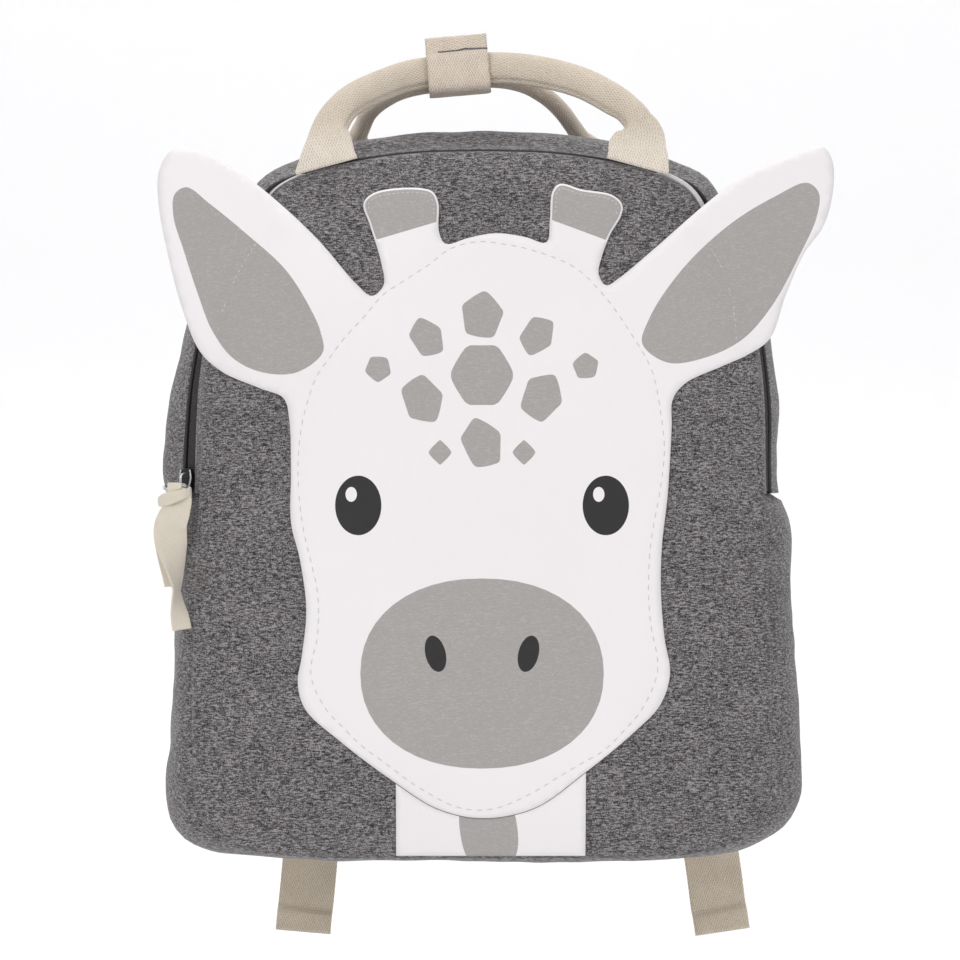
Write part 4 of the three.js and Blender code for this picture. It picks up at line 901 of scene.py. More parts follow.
class RUCKSACK_OT_body(bpy.types.Operator):
    """Makes the front panel and the gussets"""

    bl_idname = "rucksack.body"
    bl_label = "Body cloth"

    def execute(self, context):
        self.front()
        depth = context.scene.rucksack_sizes.wrinkle / MM
        first, last = LEFT_ZIP_END - FULL_TURN, RIGHT_ZIP_END
        base = self.gusset_piece("base_gusset_cloth", "base_gusset", first, last, GAP, None, depth, tuck=TUCK)
        flap = self.gusset_piece(
            "zip_flap_cloth", "zip_flap", RIGHT_ZIP_END, LEFT_ZIP_END, GAP, FLAP, 0.0, rows=8
        )
        back = self.gusset_piece(
            "zip_gusset_cloth", "zip_gusset", RIGHT_ZIP_END, LEFT_ZIP_END, FLAP + ZIP_GAP, None, depth
        )
        return {"FINISHED"}

    def front(self):
        outline = seam_line(even_places(0, FULL_TURN, 2.4)[:-1])
        flat, triangles = filled(
            [outline], 5.0, [MIDDLE + (outline - MIDDLE) * s for s in (0.992, 0.98, 0.955)]
        )
        x, z = flat[:, 0], flat[:, 1]
        top = np.stack([x, panel_y(x, z), z], axis=1)
        ring, reach = ring_of(x, z)
        shrink = 1 - CLOTH / reach
        inner = MIDDLE + (flat - MIDDLE) * shrink[:, None]
        rise = (FRONT_SWELL - CLOTH) * eased(FRONT_DOME, np.minimum(ring, 1)) + dents(x, z)
        under = np.stack([inner[:, 0], front_y(inner[:, 1]) - rise, inner[:, 1]], axis=1)
        points, faces, _ = laid_cloth(flat, triangles, top, under, outline)
        made = piece("front_panel_cloth", points, faces, [finish("marl")], stands_for=["front_panel"])

    def gusset_piece(self, name, node, first, last, start, end, depth, tuck=0.0, rows=40):
        """A wall of the gusset. Where it has a tuck, its ends go in under the next wall."""
        places = even_places(first + 0.01, last - 0.01, 3.0)
        sink = np.zeros(len(places))
        if tuck:
            before, after = first + tuck * np.array([-1, -0.5, 0]), last + tuck * np.array([0, 0.5, 1])
            places = np.concatenate([before, places[1:-1], after])
            past = np.maximum(first - places, places - last) / tuck
            sink = np.clip(1 + 3 * past, 0, 1) * (CLOTH + 2 * GAP + ZIP_TAPE_THICK + GAP)
        z = seam_line(places)[:, 1]
        stop = np.full(len(places), end) if end else BASE_DEEP - front_y(z) - GAP
        share = np.linspace(0, 1, rows)[:, None]
        deep = start + (stop - start) * share
        wide = np.broadcast_to(places, deep.shape)
        outer = gusset(wide, deep)
        if depth:
            fade = np.clip(np.minimum(deep - start, stop - deep) / 14.0, 0, 1)
            soft = lumps(outer, 38.0, 2.2) + 0.45 * lumps(outer * (1, 1, 1.6), 15.0, 5.1)
            outer = gusset(wide, deep, soft * depth * fade - sink)
            inner = gusset(wide, deep, soft * depth * fade - CLOTH - sink)
        else:
            inner = gusset(wide, deep, -CLOTH)
        points, faces = wall(outer, inner)
        slots = np.zeros(len(faces), dtype=np.int32)
        # The zip gusset's front cut edge takes the zip's dark nylon: painted shade for the shaded groove along
        # the zip
        if start > GAP:
            per_column = 2 * rows
            slots[per_column - 2 : per_column * len(places) : per_column] = 1
        finishes = [finish("marl"), finish("nylon")]
        made = piece(name, points, faces, finishes, slots=slots, stands_for=[node])
        return made


class RUCKSACK_OT_back(bpy.types.Operator):
    """Makes the padded back panel and the band over the straps' tops"""

    bl_idname = "rucksack.back"
    bl_label = "Back panel"

    def execute(self, context):
        outline = seam_line(even_places(0, FULL_TURN, 2.6)[:-1])
        rings = [MIDDLE + (outline - MIDDLE) * s for s in (0.99, 0.97, 0.93)]
        flat, triangles = filled([outline], 6.0, rings)
        x, z = flat[:, 0], flat[:, 1]
        ring, reach = ring_of(x, z)
        dome = eased(BACK_DOME, ring)
        soft = lumps(np.stack([x, 0 * x, z], axis=1), 48.0, 8.1) * 0.5 * np.clip((1 - ring) / 0.2, 0, 1)
        outer = np.stack([x, BASE_DEEP + BACK_SWELL * dome - np.abs(soft), z], axis=1)
        inner = MIDDLE + (flat - MIDDLE) * (1 - CLOTH / reach)[:, None]
        under = np.stack([inner[:, 0], BASE_DEEP + (BACK_SWELL - BACK_PAD) * dome, inner[:, 1]], axis=1)
        points, faces, _ = laid_cloth(flat, triangles, outer, under, outline)
        made = piece("back_panel_pad", points, faces, [finish("marl")], stands_for=["back_panel"])
        half = STRAP_TOP_X + STRAP_WIDE / 2 + 4
        low = STRAP_TOP + 3 * GAP
        y = BASE_DEEP + BACK_SWELL + GAP + YOKE_THICK / 2
        rows = [((-half, y, low + YOKE_HIGH / 2), YOKE_HIGH, YOKE_THICK, 1.0)]
        rows.append(((half, y, low + YOKE_HIGH / 2), YOKE_HIGH, YOKE_THICK, 1.0))
        points, faces, run = tube(band(rows, 2.0, 24))
        yoke = piece("strap_yoke_cloth", points, faces, [finish("marl")], run=run, stands_for=["strap_yoke"])
        return {"FINISHED"}


class RUCKSACK_OT_zip(bpy.types.Operator):
    """Makes the zip's tape and coil, and the pale binding beside it"""

    bl_idname = "rucksack.zip"
    bl_label = "Zip"

    def execute(self, context):
        places = even_places(RIGHT_ZIP_END + 0.02, LEFT_ZIP_END - 0.02, 2.5)
        centre = FLAP + ZIP_GAP / 2
        lift = -CLOTH - GAP
        section = [(centre - ZIP_TAPE / 2, lift), (centre + ZIP_TAPE / 2, lift)]
        section += [(deep, low - ZIP_TAPE_THICK) for deep, low in reversed(section)]
        loops = np.stack([gusset(places, np.full(len(places), d), h) for d, h in section], axis=1)
        points, faces, run = tube(loops)
        tape = piece(
            "zip_tape", points, faces, [finish("nylon")], run=run, smooth=False, stands_for=["zipper"]
        )
        fine = even_places(RIGHT_ZIP_END + 0.05, LEFT_ZIP_END - 0.05, 0.55)
        turn = np.linspace(0, 2 * np.pi, 10, endpoint=False)
        swell = np.where(np.arange(len(fine)) % 2, 1.0, 0.78)[:, None]
        deep = centre + COIL_WIDE / 2 * np.cos(turn)[None] * swell
        high = lift + COIL_HIGH / 2 * (1 + np.sin(turn)[None] * swell)
        loops = gusset(np.broadcast_to(fine[:, None], deep.shape), deep, high)
        points, faces, run = tube(loops)
        coil = piece(
            "zip_coil", points, faces, [finish("nylon")], run=run, smooth=False, stands_for=["zipper"]
        )
        edge = even_places(RIGHT_ZIP_END + 1, LEFT_ZIP_END - 1, 2.5)
        turn = np.linspace(0, 2 * np.pi, 12, endpoint=False)
        line = seam_line(edge)
        shown = np.clip((np.abs(line[:, 0]) - 78) / 5, 0, 1) * np.clip((line[:, 1] - 285) / 9, 0, 1)
        proud = lerp(0.25, np.where(line[:, 0] > 0, 2.1, 0.9), shown)[:, None]
        deep = GAP + BINDING_WIDE / 2 * (1 + np.cos(turn))[None] + 0 * edge[:, None]
        high = lerp(-0.8, 1.5 * GAP, shown)[:, None] + proud / 2 * (1 + np.sin(turn))[None]
        loops = gusset(np.broadcast_to(edge[:, None], deep.shape), deep, high)
        points, faces, run = tube(loops)
        slots = np.concatenate([np.repeat(shown[:-1] < 0.5, len(turn)), [True, True]]).astype(np.int32)
        finishes = [finish("white_thread"), finish("marl")]
        made = piece(
            "front_binding", points, faces, finishes, slots=slots, run=run, stands_for=["seam_binding"]
        )
        return {"FINISHED"}


def head_outline(step=1.6):
    return smooth_loop(np.array(HEAD) * (SEAM_HALF, SEAM_HIGH), step)


# The face's own print: a name, its ink, and its outline in millimetres about a centre
def oval(x, z, wide, high, turn=0.0, square=1.0):
    angle = np.linspace(0, 2 * np.pi, 48, endpoint=False)
    across = np.sign(np.cos(angle)) * np.abs(np.cos(angle)) ** square * wide
    upward = np.sign(np.sin(angle)) * np.abs(np.sin(angle)) ** square * high
    c, s = math.cos(math.radians(turn)), math.sin(math.radians(turn))
    return np.stack([x + across * c - upward * s, z + across * s + upward * c], axis=1)


def cobble(x, z, size, turn, corners=5, tall=1.0):
    """A stone shape: a polygon with rounded corners."""
    angle = np.linspace(0, 2 * np.pi, 72, endpoint=False)
    side = 2 * np.pi / corners
    flats = np.cos(side / 2) / np.cos(np.mod(angle, side) - side / 2)
    reach = size * 1.12 * np.minimum(flats**0.85, 0.955) * (1 + 0.05 * np.cos(2 * angle + turn))
    flat = np.stack([reach * np.cos(angle), tall * reach * np.sin(angle)], axis=1)
    c, s = math.cos(math.radians(turn)), math.sin(math.radians(turn))
    return flat @ np.array([[c, s], [-s, c]]) + (x, z)


# Centre across and up, size, turn, corners and height of each patch on the forehead
PATCHES = [
    (0, 246, 9.5, 10, 5, 1.05), (-25, 236, 7.2, 35, 5, 1.2),
    (25, 237, 7.2, -35, 5, 1.2), (0, 219, 12.5, 0, 6, 1.15),
    (-27, 208, 9.0, 15, 5, 1.15), (27, 209, 9.0, -15, 5, 1.15),
    (0, 188, 8.6, 30, 5, 1.3), (-19, 184, 4.6, 0, 4, 1.2),
    (19, 184, 4.6, 0, 4, 1.2), (-47, 222, 5.4, 50, 5, 1.1), (47, 223, 5.4, -50, 5, 1.1),
]


def face_print():
    """Every printed shape of the face: outline and finish, the later over the earlier."""
    shapes = [(oval(0, 84, 55, 43, 0, 0.92), "pale_marl")]
    shapes += [(cobble(*row), "pale_marl") for row in PATCHES]
    for side in (-1, 1):
        shapes.append((oval(side * 21, 93, 4.6, 8.4, side * -14), "black_ink"))
        shapes.append((oval(side * 56, 160, 10.5, 13.5, 0), "black_ink"))
        shapes.append((oval(side * 56 - 3.2, 165, 2.6, 3.4, 0), "white_ink"))
    return shapes


class RUCKSACK_OT_head(bpy.types.Operator):
    """Makes the sewn-on head with its print, the ears' backs and the neck"""

    bl_idname = "rucksack.head"
    bl_label = "Head"

    def execute(self, context):
        outline = head_outline()
        shapes = [(even_line(line, 1.1), name) for line, name in face_print()] + self.tips()
        shapes += [(smooth_loop(rows, 1.2), "pale_marl") for rows in EAR_INSIDES]
        seam = smooth_loop(FACE_SEAM, 1.8)
        beside = [moved_in(seam, 1.3), moved_in(seam, -1.3)]
        flat, triangles = filled([outline], 3.2, [line for line, _ in shapes] + [seam] + beside)
        x, z = flat[:, 0], flat[:, 1]
        edge = distance_to(outline, flat)
        sewn = distance_to(seam, flat)
        for rows in EAR_SEAMS:
            sewn = np.minimum(sewn, distance_to(rows, flat, closed=False))
        groove = 0.4 * np.exp(-((sewn / 1.1) ** 2))
        round_off = np.sqrt(np.clip(1 - (1 - np.clip(edge / 1.2, 0, 1)) ** 2, 0, 1))
        lift = GAP + HEAD_THICK * (0.45 + 0.55 * round_off) - groove
        top = np.stack([x, ear_y(x, z) - lift, z], axis=1)
        under = np.stack([x, ear_y(x, z) - GAP - HEAD_THICK * 0.2 * (1 - round_off), z], axis=1)
        points, faces, rim = laid_cloth(flat, triangles, top, under, outline)
        centre = flat[np.array(triangles)].mean(axis=1)
        inks = ["white_ink", "pale_marl", "black_ink"]
        slots = np.zeros(len(triangles), dtype=np.int32)
        for line, name in shapes:
            slots[within(line, centre)] = inks.index(name)
        slots = np.concatenate(
            [slots, np.ones(len(triangles), dtype=np.int32), np.zeros(rim, dtype=np.int32)]
        )
        finishes = [finish(name) for name in inks]
        made = piece("head_cloth", points, faces, finishes, slots=slots, stands_for=["giraffe_head"])
        for side, rows in (("left", LEFT_EAR), ("right", RIGHT_EAR)):
            self.ear_back(side, rows)
        self.neck(outline)
        return {"FINISHED"}

    def tips(self):
        """The horns' bare tips, cut off straight below, with a narrow white rim."""
        rim = moved_in(head_outline(0.8), 0.9)
        shapes = []
        for (x, z), (far_x, far_z) in HORN_CUTS:
            above = rim[:, 1] > z + (far_z - z) / (far_x - x) * (rim[:, 0] - x)
            near = (rim[:, 0] > x - 12) & (rim[:, 0] < far_x + 12) & (rim[:, 1] < 0.97 * SEAM_HIGH)
            shapes.append((even_line(rim[above & near], 1.1), "pale_marl"))
        return shapes

    def ear_back(self, side, rows):
        outline = smooth_loop(np.array(rows) * (SEAM_HALF, SEAM_HIGH), 2.0)
        flat, triangles = filled([outline], 4.0)
        ring, _ = ring_of(flat[:, 0], flat[:, 1])
        kept = [face for face in triangles if min(ring[list(face)]) > 1.002]
        used = sorted({i for face in kept for i in face})
        index = {old: new for new, old in enumerate(used)}
        kept = [tuple(index[i] for i in face) for face in kept]
        flat = flat[used]
        x, z = flat[:, 0], flat[:, 1]
        top = np.stack([x, ear_y(x, z, 0), z], axis=1)
        under = np.stack([x, ear_y(x, z, -EAR_BACK_THICK), z], axis=1)
        points, faces, _ = laid_cloth(flat, kept, top, under, outline)
        made = piece(
            f"ear_lining_{side}", points, faces, [finish("pale_marl")], stands_for=[f"ear_back_{side}"]
        )

    def neck(self, chin):
        low, high = 0.6, 0.16 * SEAM_HIGH
        corners = [(-NECK_LEFT, low), (NECK_RIGHT, low), (NECK_RIGHT, high), (-NECK_LEFT, high)]
        outline = even_line(np.array(corners, float), 2.0)
        patch = even_line(oval(3, 13, 13, 20, 8, 0.8), 1.2)
        hem = moved_in(chin, -GAP)
        flat, triangles = filled([outline], 3.0, [hem, patch])
        centre = flat[np.array(triangles)].mean(axis=1)
        keep = ~within(hem, centre) & within(outline, centre)
        kept = [face for face, held in zip(triangles, keep) if held]
        used = sorted({i for face in kept for i in face})
        index = {old: new for new, old in enumerate(used)}
        kept = [tuple(index[i] for i in face) for face in kept]
        flat = flat[used]
        x, z = flat[:, 0], flat[:, 1]
        top = np.stack([x, panel_y(x, z, GAP + NECK_THICK), z], axis=1)
        under = np.stack([x, panel_y(x, z, GAP), z], axis=1)
        points, faces, rim = laid_cloth(flat, kept, top, under, outline)
        centre = flat[np.array(kept)].mean(axis=1)
        slots = within(patch, centre).astype(np.int32)
        slots = np.concatenate([slots, np.ones(len(kept), dtype=np.int32), np.zeros(rim, dtype=np.int32)])
        finishes = [finish("white_ink"), finish("pale_marl")]
        made = piece("neck_cloth", points, faces, finishes, slots=slots, stands_for=["neck_patch"])


class RUCKSACK_OT_stitching(bpy.types.Operator):
    """Sews the face, the ears and the horn tips' edges with running stitches"""

    bl_idname = "rucksack.stitching"
    bl_label = "Stitching"

    def execute(self, context):
        sizes = context.scene.rucksack_sizes
        long, pitch, edge = sizes.stitch / MM, sizes.stitch_pitch / MM, sizes.edge / MM
        lift = GAP + HEAD_THICK
        path = smooth_loop(FACE_SEAM, 2.0)
        line = surface_line(np.vstack([path, path[:1]]), ear_y, lift - 0.38)
        self.sew("head_stitches", [line], long, pitch)
        ears = [spline(rows, np.linspace(0, len(rows) - 1, 40)) for rows in EAR_SEAMS]
        lines = [surface_line(even_line(rows, 2.0, closed=False), ear_y, lift - 0.3) for rows in ears]
        self.sew("ear_stitches", lines, long * 0.55, pitch * 0.6)
        rim = moved_in(head_outline(1.0), edge)
        lines = []
        for (x, z), (far_x, far_z) in HORN_CUTS:
            near = (rim[:, 0] > x - 12) & (rim[:, 0] < far_x + 12) & (rim[:, 1] < 0.97 * SEAM_HIGH)
            above = near & (rim[:, 1] > max(z, far_z) + 3)
            lines.append(surface_line(rim[above], ear_y, lift))
        self.sew("horn_stitches", lines, long * 0.4, pitch * 0.45)
        return {"FINISHED"}

    def sew(self, name, lines, long, pitch):
        points, faces = stitches(lines, -0.1, long, pitch)
        made = piece(name, points, faces, [finish("white_thread")])


class RUCKSACK_OT_handles(bpy.types.Operator):
    """Makes the two rolled grab handles"""

    bl_idname = "rucksack.handles"
    bl_label = "Grab handles"

    def execute(self, context):
        self.handle(
            "front_handle", FRONT_HANDLE, FOOT, lambda z: front_y(z) - GAP - WEBBING_THICK / 2, WRAP_DEEP,
            HANDLE_RISE, ROLLED_HIGH, ROLLED_DEEP,
        )
        self.handle(
            "rear_handle", REAR_HANDLE, REAR_FOOT, lambda z: BASE_DEEP + GAP + WEBBING_THICK / 2, REAR_TUBE_Y,
            REAR_RISE, REAR_ROLLED_HIGH, REAR_ROLLED_DEEP,
        )
        return {"FINISHED"}

    def handle(self, node, table, foot, foot_y, wrap_y, top, tall, deep):
        fine = np.linspace(RIGHT_ZIP_END, HALF_TURN, 400)
        line, out = seam_line(fine), seam_out(fine)

        def seat(x):
            i = int(np.argmin(np.abs(line[:, 0] - abs(x))))
            return np.array([math.copysign(line[i, 0], x), line[i, 1]]), out[i] * (math.copysign(1, x), 1)

        def foot_rows(side):
            at, way = seat(side * foot)
            return [
                ((at[0] + way[0] * lift, foot_y(at[1]), at[1] + way[1] * lift), WEBBING, WEBBING_THICK, 1.0)
                for lift in (2 * GAP, 2.2)
            ]

        base = seat(foot)[0]
        rows = foot_rows(-1)
        for across, up, back, roll in table:
            place = (across * foot, lerp(foot_y(base[1]), wrap_y, back), lerp(base[1], top, up))
            rows.append(
                (place, lerp(WEBBING, tall, roll), lerp(WEBBING_THICK, deep, min(roll, 1)), 1 - min(roll, 1))
            )
        rows += foot_rows(1)[::-1]
        rolls = [0, 0] + [min(row[3], 1) for row in table] + [0, 0]

        def fold(turn, share):
            """The rolled webbing's edges meet in a groove low on its front."""
            rolled = np.interp(share * (len(rolls) - 1), np.arange(len(rolls)), rolls)[:, None]
            return 1 - 0.13 * rolled**3 * np.exp(-(((turn[None] - 0.62) / 0.13) ** 2))

        way = seat(foot)[1]
        ends = (np.array([way[1], 0, way[0]]), np.array([-way[1], 0, way[0]]), FOOT_TURN)
        points, faces, run = tube(band(rows, 1.6, 48, shape=fold, ends=ends))
        made = piece(f"{node}_webbing", points, faces, [finish("webbing")], run=run, stands_for=[node])


class RUCKSACK_OT_wrap(bpy.types.Operator):
    """Makes the band that holds the two handles together"""

    bl_idname = "rucksack.wrap"
    bl_label = "Handle wrap"

    def execute(self, context):
        def section(grow):
            front, back = WRAP_FRONT - grow, WRAP_BACK + grow
            low, high = WRAP_LOW - grow, WRAP_TOP + grow
            corner = 3 + grow
            corners = [(front, low, 180), (back, low, 270), (back, high, 0), (front, high, 90)]
            loop = []
            for y, z, first in corners:
                cy = y + corner if y == front else y - corner
                cz = z + corner if z == low else z - corner
                for turn in np.radians(np.linspace(first, first + 90, 7)):
                    loop.append((cy + corner * math.cos(turn), cz + corner * math.sin(turn)))
            return even_line(np.array(loop), 1.2)

        outer = section(WRAP_WALL)
        inner = section(0.0)
        inner = even_line(inner, 1.2)
        count = len(outer)
        run = np.linspace(0, len(inner), count, endpoint=False)
        wrapped = np.vstack([inner, inner[:1]])
        inner = np.stack([np.interp(run, np.arange(len(wrapped)), wrapped[:, k]) for k in range(2)], axis=1)
        across = np.linspace(-WRAP_LONG / 2, WRAP_LONG / 2, 20)
        loops = []
        for x in across:
            edge = 0.25 * max(0, (abs(x) - WRAP_LONG / 2 + 1.0)) ** 2
            loops.append(
                [(WRAP_MIDDLE + x, y, z) for y, z in outer - unit(outer - outer.mean(axis=0)) * edge]
            )
        outer_grid = np.array(loops)
        ragged = lumps(outer_grid, 4.0, 6.1) * np.clip(np.abs(across) / WRAP_LONG * 2, 0, 1)[:, None] ** 4
        outer_grid += ragged[..., None] * (0.35, 0, 0)
        outer_grid += lumps(outer_grid, 7.0, 9.4)[..., None] * (0, 0.3, 0.15)
        inner_grid = np.array([[(WRAP_MIDDLE + x, y, z) for y, z in inner] for x in across])
        points, faces = wall(outer_grid, inner_grid, ring=True)
        run = self.wrapped_run(faces, points)
        made = piece(
            "wrap_band", self.tilted(points), faces, [finish("wrap")], run=run, stands_for=["handle_wrap"]
        )
        y, low = WRAP_FRONT + FIN_THICK / 2, WRAP_TOP - 0.2
        high = WRAP_TOP + WRAP_WALL + FIN_HIGH
        ends = (WRAP_MIDDLE - WRAP_LONG / 2, WRAP_MIDDLE + WRAP_LONG / 2)
        rows = [((x, y, (low + high) / 2), high - low, FIN_THICK, 0.9) for x in ends]
        loops = band(rows, 0.8, 40)
        loops += lumps(loops, 3.0, 3.3)[..., None] * (0, 0.3, 0.25)
        points, faces, run = tube(loops)
        fin = piece(
            "wrap_fin", self.tilted(points), faces, [finish("wrap")], run=run, stands_for=["handle_wrap"]
        )
        # A thin dark grey strip along the band's join with the fin: painted shade standing in for the shaded
        # slit there
        slit = np.linspace(SLIT_START, SLIT_END, SLIT_POINTS) * WRAP_LONG
        front, rise = np.full(SLIT_POINTS, y - FIN_THICK / 2), np.full(SLIT_POINTS, low + SLIT_RISE)
        slit = np.stack([WRAP_MIDDLE + slit, front, rise], axis=1)
        slit += lumps(slit, 3.0, 7.7)[:, None] * (0, 0.1, 0.5)
        rows = [(place, SLIT_WIDE, SLIT_THICK, SLIT_SQUARE) for place in slit]
        points, faces, run = tube(band(rows, 0.8, 10))
        seam = piece("wrap_slit_shade", self.tilted(points), faces, [finish("slit_shade_grey")], run=run)
        return {"FINISHED"}

    def wrapped_run(self, faces, points):
        """Each corner's run across the band and round it, so that the weave follows its face."""
        run = []
        for face in faces:
            spots = points[list(face)]
            spread = np.ptp(spots, axis=0)
            high = 2 if spread[2] >= spread[1] else 1
            run += [(spot[high], spot[0]) for spot in spots]
        return run

    def tilted(self, points):
        centre = np.array([WRAP_MIDDLE, 0, HANDLE_RISE])
        turn = np.array(Matrix.Rotation(-math.radians(WRAP_TILT), 3, "Y"))
        return (np.asarray(points) - centre) @ turn.T + centre


PAD_OFF = STRAP_RUN[-1][2] * STRAP_OFF
STRAP_BASE_Y = BASE_DEEP + BACK_SWELL + GAP + STRAP_THICK / 2
LOCK_Y = STRAP_BASE_Y + PAD_OFF
LOCK_Z = STRAP_END - LOCK_DROP - LOCK_HIGH / 2
BAR_BEND = math.hypot(LOCK_BAR, LOCK_THICK) / 2 + 1.5 * GAP + WEBBING_THICK / 2


class RUCKSACK_OT_straps(bpy.types.Operator):
    """Makes the padded shoulder straps"""

    bl_idname = "rucksack.straps"
    bl_label = "Shoulder straps"

    def execute(self, context):
        for side, sign in (("left", -1), ("right", 1)):
            rows = []
            for run, across, away, wide in STRAP_RUN:
                x = sign * lerp(STRAP_TOP_X, STRAP_END_X, across)
                place = (x, STRAP_BASE_Y + away * STRAP_OFF, lerp(STRAP_TOP, STRAP_END, run))
                rows.append((place, STRAP_WIDE * wide, STRAP_THICK, 0.55))
            points, faces, run = tube(band(rows, 3.0, 32))
            made = piece(
                f"shoulder_pad_{side}", points, faces, [finish("marl")], run=run,
                stands_for=[f"shoulder_strap_{side}"],
            )
        return {"FINISHED"}


class RUCKSACK_OT_locks(bpy.types.Operator):
    """Makes the ladder locks below the straps and their webbing loops"""

    bl_idname = "rucksack.locks"
    bl_label = "Ladder locks"

    def execute(self, context):
        for side, sign in (("left", -1), ("right", 1)):
            self.lock(side, sign)
            self.loop(side, sign)
        return {"FINISHED"}

    def lock(self, side, sign):
        centre = (np.array([sign * STRAP_END_X, LOCK_Y, LOCK_Z]) + ORIGIN) * MM
        bpy.ops.object.select_all(action="DESELECT")
        bpy.ops.mesh.primitive_cube_add(size=1, location=tuple(centre))
        made = bpy.context.object
        made.name = f"ladder_lock_frame_{side}"
        made.scale = (LOCK_WIDE * MM, LOCK_THICK * MM, LOCK_HIGH * MM)
        bpy.ops.object.transform_apply(location=True, rotation=True, scale=True)
        slot = (LOCK_HIGH - 3 * LOCK_BAR) / 2
        cuts_z = [LOCK_HIGH / 2 - LOCK_BAR, LOCK_BAR / 2, -LOCK_BAR / 2, LOCK_BAR - LOCK_HIGH / 2]
        cuts_x = [LOCK_BAR - LOCK_WIDE / 2, LOCK_WIDE / 2 - LOCK_BAR]
        bpy.ops.object.mode_set(mode="EDIT")
        for axis, cuts in ((2, cuts_z), (0, cuts_x)):
            for cut in cuts:
                bpy.ops.mesh.select_all(action="SELECT")
                place = centre.copy()
                place[axis] += cut * MM
                way = tuple(1.0 if k == axis else 0.0 for k in range(3))
                bpy.ops.mesh.bisect(plane_co=tuple(place), plane_no=way)
        bpy.ops.mesh.select_all(action="DESELECT")
        bpy.ops.mesh.select_mode(type="FACE")
        shell = bmesh.from_edit_mesh(made.data)
        for face in shell.faces:
            spot = np.array(face.calc_center_median()) - centre
            open_x = abs(spot[0]) < (LOCK_WIDE / 2 - LOCK_BAR) * MM
            open_z = LOCK_BAR / 2 * MM < abs(spot[2]) < (LOCK_HIGH / 2 - LOCK_BAR) * MM
            face.select_set(bool(abs(face.normal.y) > 0.9 and open_x and open_z))
        bmesh.update_edit_mesh(made.data)
        bpy.ops.mesh.bridge_edge_loops()
        bpy.ops.object.mode_set(mode="OBJECT")
        bevel = made.modifiers.new("soft_edges", "BEVEL")
        bevel.width = 0.6 * MM
        bevel.segments = 3
        bevel.angle_limit = math.radians(40)
        bpy.ops.object.modifier_apply(modifier=bevel.name)
        made.data.materials.append(finish("plastic"))
        bpy.ops.object.shade_smooth_by_angle(angle=math.radians(50))
        made.select_set(False)
        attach(made, "root")
        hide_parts(f"ladder_lock_{side}")

    def loop(self, side, sign):
        bar = np.array([sign * STRAP_END_X, LOCK_Y, LOCK_Z + (LOCK_HIGH - LOCK_BAR) / 2])
        wide = TAIL_WIDE - 1
        rows, facing = half_turn(bar, BAR_BEND, -1, wide, WEBBING_THICK)
        top = STRAP_END - 3 * GAP
        rows.insert(0, ((bar[0], bar[1] - BAR_BEND, top), wide, WEBBING_THICK, 0.8))
        facing.insert(0, (0, -1, 0))
        rows.append(((bar[0], bar[1] + BAR_BEND, top), wide, WEBBING_THICK, 0.8))
        facing.append((0, 1, 0))
        points, faces, run = tube(band(rows, 1.2, 20, facing))
        made = piece(
            f"lock_webbing_{side}", points, faces, [finish("tails")], run=run, stands_for=[f"lock_loop_{side}"]
        )


class RUCKSACK_OT_webbing(bpy.types.Operator):
    """Makes the lower webbing with its free ends, and its corner patches"""

    bl_idname = "rucksack.webbing"
    bl_label = "Lower webbing"

    def execute(self, context):
        for side, sign in (("left", -1), ("right", 1)):
            self.strap(side, sign)
            self.patch(side, sign)
        return {"FINISHED"}

    def strap(self, side, sign):
        base_share, tip_share = TAIL_SPREAD[sign]
        bar = np.array([sign * STRAP_END_X, LOCK_Y, LOCK_Z])
        near = bar[1] - BAR_BEND
        anchor_x = sign * ANCHOR_X
        anchor_y = BASE_DEEP + BACK_SWELL + GAP + WEBBING_THICK / 2
        row = lambda x, y, z, thick=WEBBING_THICK: ((x, y, z), TAIL_WIDE, thick, 0.8)
        rise = [
            row(anchor_x, anchor_y, ANCHOR_TOP + 2 * GAP),
            row(anchor_x, anchor_y, ANCHOR_TOP + 5),
            row(lerp(anchor_x, bar[0], 0.4), lerp(anchor_y, near, 0.5), lerp(ANCHOR_TOP, bar[2], 0.45)),
            row(bar[0], near, bar[2] - LOCK_HIGH / 2 - 4),
        ]
        tip_x, base_x = sign * tip_share * ANCHOR_X, sign * base_share * ANCHOR_X
        hang_y = bar[1] + BAR_BEND
        hem = HEM_LONG - TAIL_DROP
        fall = [
            row(bar[0], hang_y, bar[2] - LOCK_HIGH / 2 - 3),
            row(lerp(bar[0], base_x, 0.55), hang_y - TAIL_OFF * 0.3, bar[2] * 0.4),
            row(base_x, hang_y - TAIL_OFF * 0.7, 0),
            row(lerp(base_x, tip_x, 0.75), hang_y - TAIL_OFF * 0.9, hem + GAP),
            row(lerp(base_x, tip_x, 0.77), hang_y - TAIL_OFF * 0.9, hem, HEM_THICK),
            row(tip_x, hang_y - TAIL_OFF, -TAIL_DROP, HEM_THICK),
        ]
        turn, facing = half_turn(bar, BAR_BEND, 1, TAIL_WIDE, WEBBING_THICK)
        facing = [FORWARD] * len(rise) + facing + [BACKWARD] * len(fall)
        points, faces, run = tube(band(rise + turn + fall, 1.6, 24, facing))
        made = piece(
            f"strap_webbing_{side}", points, faces, [finish("tails")], run=run,
            stands_for=[f"lower_webbing_{side}"]
        )

    def patch(self, side, sign):
        y = BASE_DEEP + BACK_SWELL + GAP + YOKE_THICK / 2
        wide = TAIL_WIDE + 6
        rows = [((sign * ANCHOR_X, y, ANCHOR_TOP - ANCHOR_HIGH), wide + 4, YOKE_THICK, 1.0)]
        rows.append(((sign * ANCHOR_X, y, ANCHOR_TOP), wide - 4, YOKE_THICK, 1.0))
        points, faces, run = tube(band(rows, 1.5, 24))
        made = piece(
            f"anchor_patch_{side}", points, faces, [finish("marl")], run=run,
            stands_for=[f"webbing_anchor_{side}"]
        )


